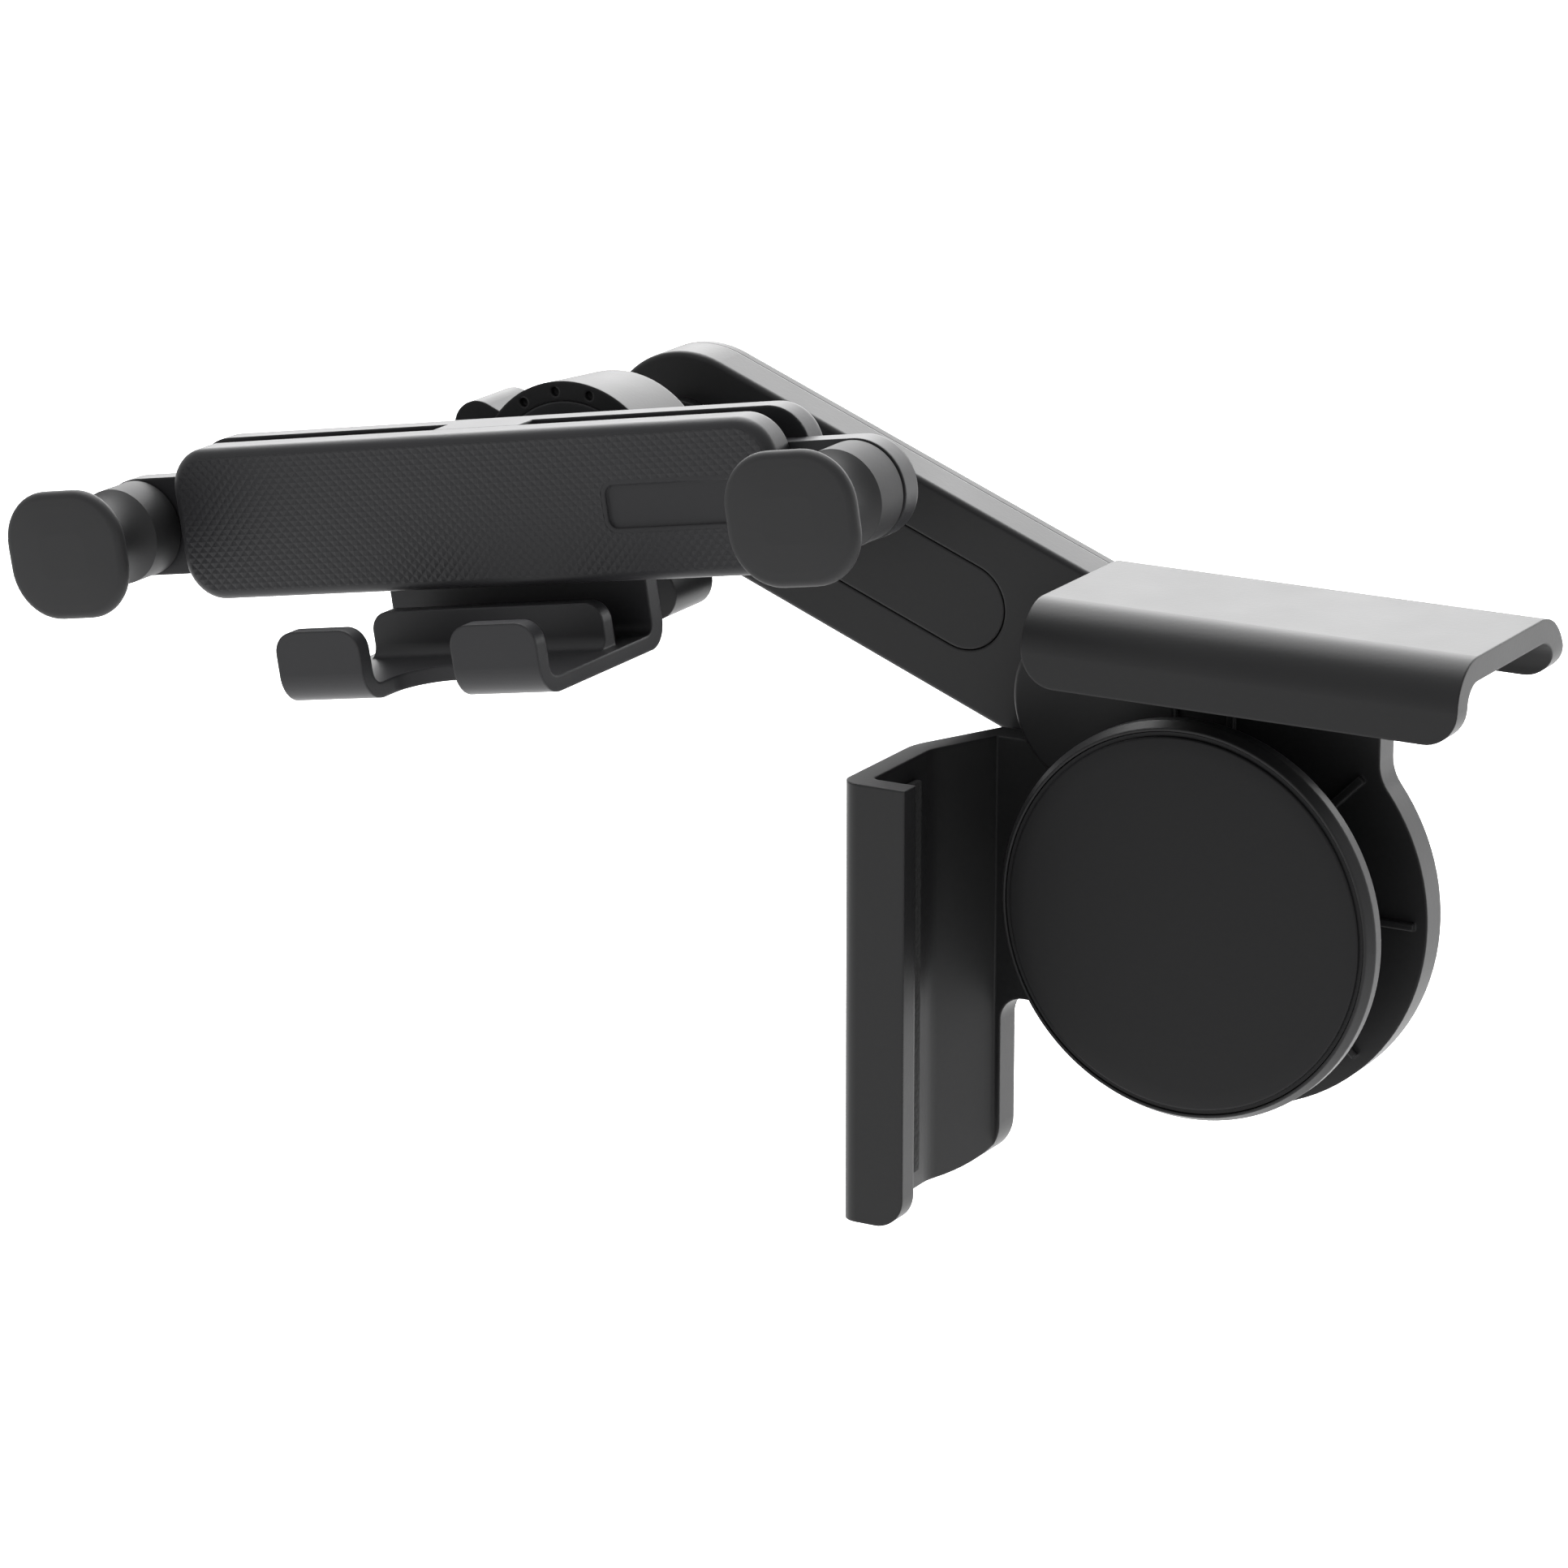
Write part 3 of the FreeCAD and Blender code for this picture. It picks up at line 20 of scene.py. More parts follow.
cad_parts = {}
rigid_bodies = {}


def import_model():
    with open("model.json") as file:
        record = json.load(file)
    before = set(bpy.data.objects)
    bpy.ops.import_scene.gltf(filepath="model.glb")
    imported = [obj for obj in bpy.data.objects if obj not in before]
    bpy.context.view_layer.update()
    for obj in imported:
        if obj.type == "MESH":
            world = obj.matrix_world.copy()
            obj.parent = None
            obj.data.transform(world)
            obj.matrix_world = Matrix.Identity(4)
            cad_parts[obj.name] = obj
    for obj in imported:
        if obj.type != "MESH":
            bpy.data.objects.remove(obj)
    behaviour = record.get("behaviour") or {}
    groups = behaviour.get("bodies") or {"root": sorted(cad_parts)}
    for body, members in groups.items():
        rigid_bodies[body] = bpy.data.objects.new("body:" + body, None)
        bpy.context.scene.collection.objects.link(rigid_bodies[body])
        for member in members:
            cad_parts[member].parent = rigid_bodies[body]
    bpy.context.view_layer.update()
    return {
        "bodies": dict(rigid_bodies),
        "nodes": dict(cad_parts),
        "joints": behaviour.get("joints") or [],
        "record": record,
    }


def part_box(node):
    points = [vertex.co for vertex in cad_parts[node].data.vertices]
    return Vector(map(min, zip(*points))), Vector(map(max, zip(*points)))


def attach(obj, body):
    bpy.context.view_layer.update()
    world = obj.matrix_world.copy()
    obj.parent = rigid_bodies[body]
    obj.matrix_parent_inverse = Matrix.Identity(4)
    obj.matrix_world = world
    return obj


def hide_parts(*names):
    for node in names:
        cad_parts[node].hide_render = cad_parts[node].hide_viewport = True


MM = 0.001
# Points nearer to each other than this are merged, in millimetres.
WELD_MM = 0.0002
# Lengths that differ by less than this are equal, in millimetres.
SAME_MM = 0.01
# A face is a middle one if its centre is nearer to the Y axis than this, in millimetres.
MIDDLE_MM = 1.0
# A face looks along a direction if its normal has more than this share of it.
FACING = 0.99
# Facets of a rounded corner in a block's outline.
CORNER_STEPS = 12
LOG = logging.getLogger("phone_holder")


class Body(Enum):
    """Moving bodies that carry new pieces."""

    CLAMP = "clamp"
    PAD = "pad"
    KNOB = "knob"
    ARM = "arm"
    CRADLE = "cradle"
    LEFT = "left"
    RIGHT = "right"


class Slot(Enum):
    """Material slots of the record."""

    ABS = "black_abs"
    RUBBER = "soft_rubber"
    FOAM = "foam"
    STEEL = "zinc_steel"


class Cut(Enum):
    """Ways to bring two solid pieces together."""

    JOIN = "UNION"
    TRIM = "INTERSECT"
    REMOVE = "DIFFERENCE"


class Pick(Enum):
    """What edit mode selects."""

    POINTS = "VERT"
    EDGES = "EDGE"
    FACES = "FACE"


def linear(code: str) -> tuple[float, float, float, float]:
    """Turn an sRGB hex colour into linear light.

    Args:
        code: colour such as "#2a2a2b".

    Returns:
        Linear red, green, blue and a full alpha.
    """
    parts = [int(code[i : i + 2], 16) / 255 for i in (1, 3, 5)]
    lit = [p / 12.92 if p <= 0.04045 else ((p + 0.055) / 1.055) ** 2.4 for p in parts]
    return (lit[0], lit[1], lit[2], 1.0)


def add_node(
    tree: bpy.types.NodeTree, kind: str, inputs: dict[Any, Any] | None = None, **settings: Any
) -> bpy.types.Node:
    """Add one shader node with its settings, values and links.

    Args:
        tree: the node tree of a material or of the world.
        kind: Blender's node type.
        inputs: socket name or number to a value or to another node's output.
        settings: properties of the node itself.

    Returns:
        The new node.
    """
    made = tree.nodes.new(kind)
    for name, value in settings.items():
        setattr(made, name, value)
    for key, value in (inputs or {}).items():
        socket = made.inputs[key]
        if isinstance(value, bpy.types.NodeSocket):
            tree.links.new(value, socket)
        else:
            socket.default_value = value
    return made


def bare_material(name: str) -> tuple[bpy.types.Material, bpy.types.NodeTree]:
    """Start a material with no nodes.

    Args:
        name: what the material is and how it was made.

    Returns:
        The material and its node tree.
    """
    material = bpy.data.materials.new(name)
    material.use_nodes = True
    material.node_tree.nodes.clear()
    return material, material.node_tree


def clear_bench() -> None:
    """Leave nothing selected, in object mode."""
    if bpy.context.mode != "OBJECT":
        bpy.ops.object.mode_set(mode="OBJECT")
    bpy.ops.object.select_all(action="DESELECT")


class Workpiece:
    """One piece on the bench: a primitive that edit-mode operators shape by hand."""

    def __init__(self, name: str) -> None:
        """Take up the primitive that was just added, with its place in its mesh.

        Args:
            name: the piece's name.
        """
        self.item: bpy.types.Object = bpy.context.object
        self.item.name = name
        self.item.data.name = name
        bpy.ops.object.transform_apply(location=True, rotation=True, scale=True)

    def take(self) -> None:
        """Make this the only selected and active piece, in object mode."""
        clear_bench()
        self.item.select_set(True)
        bpy.context.view_layer.objects.active = self.item

    def scrap(self) -> None:
        """Throw the piece away."""
        bpy.data.objects.remove(self.item, do_unlink=True)

    def edit(self, pick: Pick) -> bmesh.types.BMesh:
        """Go to edit mode with nothing selected.

        Args:
            pick: what is to be selected there.

        Returns:
            The mesh as edit mode holds it.
        """
        bpy.ops.object.mode_set(mode="EDIT")
        bpy.ops.mesh.select_mode(type=pick.value)
        bpy.ops.mesh.select_all(action="DESELECT")
        return bmesh.from_edit_mesh(self.item.data)

    def faces(self, test: Callable[[Vector, Vector], bool]) -> None:
        """Select faces in edit mode.

        Args:
            test: takes a face's middle in millimetres and its normal.
        """
        mesh = self.edit(Pick.FACES)
        for face in mesh.faces:
            if test(face.calc_center_median() / MM, face.normal):
                face.select_set(True)
        bmesh.update_edit_mesh(self.item.data)

    def edges(self, test: Callable[[Vector, Vector], bool]) -> None:
        """Select edges in edit mode.

        Args:
            test: takes an edge's two ends in millimetres.
        """
        mesh = self.edit(Pick.EDGES)
        for edge in mesh.edges:
            if test(edge.verts[0].co / MM, edge.verts[1].co / MM):
                edge.select_set(True)
        bmesh.update_edit_mesh(self.item.data)

    def everything(self) -> None:
        """Select the whole mesh in edit mode, down to single points."""
        self.edit(Pick.POINTS)
        bpy.ops.mesh.select_all(action="SELECT")

    def push(self, x: float = 0.0, y: float = 0.0, z: float = 0.0) -> None:
        """Extrude what is selected by so many millimetres."""
        shift = {"value": (x * MM, y * MM, z * MM)}
        bpy.ops.mesh.extrude_region_move(TRANSFORM_OT_translate=shift)

    def soften(self, radius: float, steps: int) -> None:
        """Round the selected edges, by a radius in millimetres and a number of facets."""
        bpy.ops.mesh.bevel(offset=radius * MM, segments=steps, affect="EDGES")

    def narrow(self, share: float) -> None:
        """Draw what is selected in towards the Y axis, to a share of its width."""
        bpy.ops.transform.resize(value=(share, 1.0, share), center_override=(0.0, 0.0, 0.0))

    def crown(self, widths: Iterable[float], rise: float) -> None:
        """Swell the front face in steps towards its middle.

        Args:
            widths: how far each step lies inside the one before, in millimetres.
            rise: how far each step stands out.
        """
        for width in widths:
            self.faces(lambda m, n: n.y < -FACING and math.hypot(m.x, m.z) < MIDDLE_MM)
            bpy.ops.mesh.inset(thickness=width * MM, depth=rise * MM)

    def modify(self, kind: str, **settings: Any) -> None:
        """Add a modifier, set it and apply it.

        Args:
            kind: Blender's modifier type.
            settings: its properties.
        """
        self.take()
        bpy.ops.object.modifier_add(type=kind)
        made = self.item.modifiers[-1]
        for name, value in settings.items():
            setattr(made, name, value)
        bpy.ops.object.modifier_apply(modifier=made.name)

    def meet(self, tool: Workpiece, how: Cut) -> None:
        """Join, trim or cut this piece with another, which is used up.

        Args:
            tool: the other piece.
            how: what happens where they overlap.
        """
        self.modify("BOOLEAN", operation=how.value, object=tool.item, solver="EXACT")
        tool.scrap()

    def close(self, smooth_deg: float = 35.0) -> None:
        """Merge doubled points, turn all faces outwards and shade the round parts smooth.

        Args:
            smooth_deg: corners up to this angle look round.
        """
        self.take()
        self.everything()
        bpy.ops.mesh.remove_doubles(threshold=WELD_MM * MM)
        bpy.ops.mesh.normals_make_consistent(inside=False)
        self.take()
        bpy.ops.object.shade_smooth_by_angle(angle=math.radians(smooth_deg))

    def settle(self, place: Matrix) -> None:
        """Move the piece to a place in the shared frame and keep that place in its mesh.

        Args:
            place: the turn and shift that take it there.
        """
        self.take()
        self.item.matrix_world = place
        bpy.ops.object.transform_apply(location=True, rotation=True, scale=True)

    def copy(self, name: str) -> Workpiece:
        """Copy the piece with a mesh of its own.

        Args:
            name: the copy's name.

        Returns:
            The copy.
        """
        self.take()
        bpy.ops.object.duplicate(linked=False)
        return Workpiece(name)

    def fit(self, body: Body, slot: Slot, finish: bpy.types.Material, *nodes: str) -> None:
        """Dress the piece and mount it.

        Args:
            body: the moving body that carries it.
            slot: not used.
            finish: its material.
            nodes: CAD nodes that it stands for.
        """
        self.item.data.materials.clear()
        self.item.data.materials.append(finish)
        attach(self.item, body.value)
        if nodes:
            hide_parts(*nodes)
        LOG.info("%s: %d faces, on %s", self.item.name, len(self.item.data.polygons), body.value)


def round_bar(name: str, radius: float, near: float, far: float, sides: int) -> Workpiece:
    """Plain bar along the Y axis, to be shaped further.

    Args:
        name: the piece's name.
        radius: of the bar, in millimetres.
        near: where its front end lies along Y.
        far: where its back end lies.
        sides: how many sides it has.

    Returns:
        The bar.
    """
    clear_bench()
    bpy.ops.mesh.primitive_cylinder_add(
        vertices=sides,
        radius=radius * MM,
        depth=(far - near) * MM,
        location=(0.0, (near + far) / 2 * MM, 0.0),
        rotation=(math.pi / 2, 0.0, 0.0),
    )
    return Workpiece(name)


def turned(name: str, profile: Sequence[tuple[float, float]], steps: int) -> Workpiece:
    """Draw a profile point by point and spin it round the Y axis.

    Args:
        name: the piece's name.
        profile: radius and place along the axis, in millimetres, from axis to axis.
        steps: how many sides the turned piece has.

    Returns:
        The closed piece.
    """
    clear_bench()
    start = (profile[0][0] * MM, profile[0][1] * MM, 0.0)
    bpy.ops.mesh.primitive_plane_add(size=MM, location=start)
    piece = Workpiece(name)
    piece.everything()
    bpy.ops.mesh.merge(type="CENTER")
    for (near_rad, near_y), (far_rad, far_y) in zip(profile, profile[1:]):
        piece.push(x=far_rad - near_rad, y=far_y - near_y)
    piece.everything()
    bpy.ops.mesh.spin(
        steps=steps, angle=math.tau, center=(0.0, 0.0, 0.0), axis=(0.0, 1.0, 0.0)
    )
    piece.close()
    return piece


def rounded_block(
    name: str,
    low: Sequence[float],
    high: Sequence[float],
    corner: float,
    front: float,
    back: float,
) -> Workpiece:
    """Block with a rounded rectangular outline that faces the front.

    Args:
        name: the piece's name.
        low: left and lower limit in millimetres.
        high: right and upper limit.
        corner: radius of the outline's corners.
        front: where its front face lies along Y.
        back: where its back face lies.

    Returns:
        The closed block.
    """
    clear_bench()
    middle = ((low[0] + high[0]) / 2 * MM, back * MM, (low[1] + high[1]) / 2 * MM)
    bpy.ops.mesh.primitive_plane_add(
        size=1.0, location=middle, rotation=(math.pi / 2, 0.0, 0.0)
    )
    bpy.context.object.scale = ((high[0] - low[0]) * MM, (high[1] - low[1]) * MM, 1.0)
    block = Workpiece(name)
    block.everything()
    bpy.ops.mesh.bevel(offset=corner * MM, segments=CORNER_STEPS, affect="VERTICES")
    block.everything()
    block.push(y=front - back)
    block.close()
    return block


@dataclass(frozen=True)
class MouldedPlastic:
    """Black moulded plastic with the fine grain of a spark-eroded mould."""

    name: str
    tint: str
    worn: str
    roughness: float
    sheen_spread: float = 0.04
    # The real grain is about 0.05 mm; it is drawn coarser so that it shows in the picture.
    grain_mm: float = 0.4
    grain_depth_mm: float = 0.006
    grain_detail: float = 2.0
    blotch_mm: float = 9.0
    blotch_detail: float = 3.0
    edge_mm: float = 0.3
    edge_samples: int = 6
    ior: float = 1.45
    gloss: float = 0.25

    def build(self) -> bpy.types.Material:
        """Make the material.

        Returns:
            Soft black with a slightly broken sheen and edges that catch the light.
        """
        mat, tree = bare_material(self.name)
        place = add_node(tree, "ShaderNodeTexCoord").outputs["Object"]
        blotch = add_node(
            tree,
            "ShaderNodeTexNoise",
            {
                "Vector": place,
                "Scale": 1 / (self.blotch_mm * MM),
                "Detail": self.blotch_detail,
            },
        )
        grain = add_node(
            tree,
            "ShaderNodeTexNoise",
            {
                "Vector": place,
                "Scale": 1 / (self.grain_mm * MM),
                "Detail": self.grain_detail,
            },
        )
        colour = add_node(
            tree,
            "ShaderNodeMix",
            {
                "Factor": blotch.outputs["Fac"],
                "A": linear(self.tint),
                "B": linear(self.worn),
            },
            data_type="RGBA",
        )
        sheen = add_node(
            tree,
            "ShaderNodeMapRange",
            {
                "Value": blotch.outputs["Fac"],
                "To Min": self.roughness - self.sheen_spread,
                "To Max": self.roughness + self.sheen_spread,
            },
        )
        relief = add_node(
            tree,
            "ShaderNodeBump",
            {
                "Height": grain.outputs["Fac"],
                "Strength": 1.0,
                "Distance": self.grain_depth_mm * MM,
            },
        )
        if self.edge_mm:
            edge = add_node(
                tree,
                "ShaderNodeBevel",
                {"Radius": self.edge_mm * MM},
                samples=self.edge_samples,
            )
            tree.links.new(edge.outputs["Normal"], relief.inputs["Normal"])
        shader = add_node(
            tree,
            "ShaderNodeBsdfPrincipled",
            {
                "Base Color": colour.outputs["Result"],
                "Roughness": sheen.outputs["Result"],
                "Normal": relief.outputs["Normal"],
                "IOR": self.ior,
                "Specular IOR Level": self.gloss,
            },
        )
        add_node(tree, "ShaderNodeOutputMaterial", {"Surface": shader.outputs["BSDF"]})
        return mat


@dataclass(frozen=True)
class ClosedCellFoam:
    """Black foam strip whose skin shows small cut cells."""

    name: str = "closed_cell_foam_cut"
    tint: str = "#1b1b1c"
    # Painted shade: a darker colour laid into the cells' low parts, standing in for shade in the
    # pits.
    painted_pit_shade: str = "#0f0f0f"
    roughness: float = 0.9
    ior: float = 1.45
    # Real cells are about 0.2 mm; they are drawn coarser so that they show in the picture.
    cell_mm: float = 0.5
    depth_mm: float = 0.08
    relief: float = 0.8

    def build(self) -> bpy.types.Material:
        """Make the material.

        Returns:
            Dull black with small pits, their low parts painted darker as shade.
        """
        mat, tree = bare_material(self.name)
        place = add_node(tree, "ShaderNodeTexCoord").outputs["Object"]
        cells = add_node(
            tree,
            "ShaderNodeTexVoronoi",
            {"Vector": place, "Scale": 1 / (self.cell_mm * MM)},
        )
        # Painted shade: the darker colour grows with the distance from each cell's middle, where
        # the inverted relief lies low.
        colour = add_node(
            tree,
            "ShaderNodeMix",
            {
                "Factor": cells.outputs["Distance"],
                "A": linear(self.tint),
                "B": linear(self.painted_pit_shade),
            },
            data_type="RGBA",
        )
        pits = add_node(
            tree,
            "ShaderNodeBump",
            {
                "Height": cells.outputs["Distance"],
                "Strength": self.relief,
                "Distance": self.depth_mm * MM,
            },
            invert=True,
        )
        shader = add_node(
            tree,
            "ShaderNodeBsdfPrincipled",
            {
                "Base Color": colour.outputs["Result"],
                "Roughness": self.roughness,
                "IOR": self.ior,
                "Normal": pits.outputs["Normal"],
            },
        )
        add_node(tree, "ShaderNodeOutputMaterial", {"Surface": shader.outputs["BSDF"]})
        return mat


@dataclass(frozen=True)
class TurnedMetal:
    """Turned or drawn metal with fine tool marks."""

    name: str
    tint: str
    shade: str
    roughness: float
    polish_spread: float = 0.08
    mark_mm: float = 0.25
    mark_detail: float = 4.0

    def build(self) -> bpy.types.Material:
        """Make the material.

        Returns:
            Metal with faint streaks in its colour and its polish.
        """
        mat, tree = bare_material(self.name)
        place = add_node(tree, "ShaderNodeTexCoord").outputs["Object"]
        marks = add_node(
            tree,
            "ShaderNodeTexNoise",
            {
                "Vector": place,
                "Scale": 1 / (self.mark_mm * MM),
                "Detail": self.mark_detail,
            },
        )
        colour = add_node(
            tree,
            "ShaderNodeMix",
            {
                "Factor": marks.outputs["Fac"],
                "A": linear(self.shade),
                "B": linear(self.tint),
            },
            data_type="RGBA",
        )
        polish = add_node(
            tree,
            "ShaderNodeMapRange",
            {
                "Value": marks.outputs["Fac"],
                "To Min": self.roughness - self.polish_spread,
                "To Max": self.roughness + self.polish_spread,
            },
        )
        shader = add_node(
            tree,
            "ShaderNodeBsdfPrincipled",
            {
                "Base Color": colour.outputs["Result"],
                "Roughness": polish.outputs["Result"],
                "Metallic": 1.0,
            },
        )
        add_node(tree, "ShaderNodeOutputMaterial", {"Surface": shader.outputs["BSDF"]})
        return mat


class Finishes:
    """All finishes of the holder, each built once."""

    def __init__(self) -> None:
        """Build every material."""
        # Mouldings: satin black ABS, even in colour, with a soft sheen along the tops.
        self.shell = MouldedPlastic(
            "abs_black_spark_eroded", "#1f1f20", "#252526", roughness=0.42
        ).build()
        # Cradle and foot: the same plastic from another mould, a shade lighter.
        self.cradle = MouldedPlastic(
            "abs_black_fine_grain", "#28282a", "#2e2e30", roughness=0.44, gloss=0.3
        ).build()
        # Knurled field: the cradle's plastic, whose small facets glitter; no edge is softened.
        self.knurl = MouldedPlastic(
            "abs_black_knurled",
            "#2a2a2c",
            "#303032",
            roughness=0.42,
            grain_depth_mm=0.002,
            edge_mm=0.0,
            gloss=0.3,
        ).build()
        # Grips: silicone, a shade lighter and duller than the mouldings.
        self.grip = MouldedPlastic(
            "silicone_black_moulded",
            "#2b2b2c",
            "#303031",
            roughness=0.58,
            grain_mm=0.6,
            edge_mm=0.0,
            gloss=0.3,
        ).build()
        # Pad: smooth soft rubber, dull and even.
        self.pad = MouldedPlastic(
            "rubber_black_pressed",
            "#1a1a1b",
            "#1f1f20",
            roughness=0.5,
            grain_mm=0.5,
            edge_mm=0.0,
            gloss=0.18,
        ).build()
        # Joint pieces: unfilled nylon, smooth and a little shiny.
        self.nylon = MouldedPlastic(
            "nylon_black_smooth_moulded",
            "#1a1a1b",
            "#202021",
            roughness=0.32,
            grain_depth_mm=0.003,
        ).build()
        # Hook liners: foam with a dull, finely pitted skin.
        self.foam = ClosedCellFoam().build()
        # Fasteners: bright zinc over steel, a little blue in the highlights.
        self.steel = TurnedMetal(
            "steel_zinc_plated", "#c9cbcc", "#a9abad", roughness=0.3
        ).build()
        # Insert: plain turned brass.
        self.brass = TurnedMetal("brass_turned", "#c7a45c", "#a8853f", roughness=0.32).build()


def dress(frame: dict[str, Any], names: Iterable[str], material: bpy.types.Material) -> None:
    """Give CAD nodes a finish.

    Args:
        names: nodes of the part.
        material: the finish they share.
    """
    for name in names:
        node = frame["nodes"][name]
        node.data.materials.clear()
        node.data.materials.append(material)
        LOG.info("%s: dressed in %s", name, material.name)


@dataclass
class PanScrew:
    """Small cross-recess screw with a rounded head that faces back."""

    head_rad: float = 1.1
    head_high: float = 1.0
    head_round: float = 0.45
    head_sides: int = 32
    round_steps: int = 4
    shank_rad: float = 0.55
    tip_long: float = 0.4
    tip_share: float = 0.4
    recess_wide: float = 0.32
    recess_arm: float = 0.42
    recess_deep: float = 0.55
    recess_floor_share: float = 0.6

    def build(self, length: float) -> Workpiece:
        """Model one screw with its head's back at the origin.

        Args:
            length: from the head's back to the tip, in millimetres.

        Returns:
            The screw.
        """
        screw = round_bar("pan_screw", self.head_rad, -self.head_high, 0.0, self.head_sides)
        screw.edges(lambda a, b: max(abs(a.y), abs(b.y)) < SAME_MM)
        screw.soften(self.head_round, self.round_steps)
        screw.faces(lambda m, n: n.y < -FACING)
        bpy.ops.mesh.inset(thickness=(self.head_rad - self.shank_rad) * MM)
        screw.push(y=self.head_high + self.tip_long - length)
        screw.push(y=-self.tip_long)
        screw.narrow(self.tip_share)
        screw.meet(self.recess(), Cut.REMOVE)
        screw.close()
        return screw

    def recess(self) -> Workpiece:
        """Model the cross that is sunk into the head, narrower at its floor.

        Returns:
            The cross, as a tool to cut with.
        """
        clear_bench()
        bpy.ops.mesh.primitive_cube_add(size=1.0, location=(0.0, 0.0, 0.0))
        size = (self.recess_wide, self.recess_deep * 2, self.recess_wide)
        bpy.context.object.scale = Vector(size) * MM
        cross = Workpiece("recess")
        for x, z in ((1, 0), (-1, 0), (0, 1), (0, -1)):
            cross.faces(
                lambda m, n: n.x * x + n.z * z > FACING
                and abs(m.x * z) + abs(m.z * x) < SAME_MM
            )
            cross.push(x=x * self.recess_arm, z=z * self.recess_arm)
        cross.faces(lambda m, n: n.y < -FACING)
        cross.narrow(self.recess_floor_share)
        cross.close()
        return cross

    def drive(
        self,
        name: str,
        length: float,
        spots: Iterable[Sequence[float]],
        body: Body,
        node: str,
        finish: bpy.types.Material,
    ) -> None:
        """Put equal screws in their places.

        Args:
            name: what they are called, before their number.
            length: from a head's back to its tip, in millimetres.
            spots: where the backs of their heads lie.
            body: the moving body that carries them.
            node: the CAD node that they stand for.
            finish: their material.
        """
        first = self.build(length)
        for number, spot in enumerate(spots, 1):
            screw = first.copy(f"{name}_{number}")
            screw.settle(Matrix.Translation(Vector(spot) * MM))
            screw.fit(body, Slot.STEEL, finish, node)
        first.scrap()


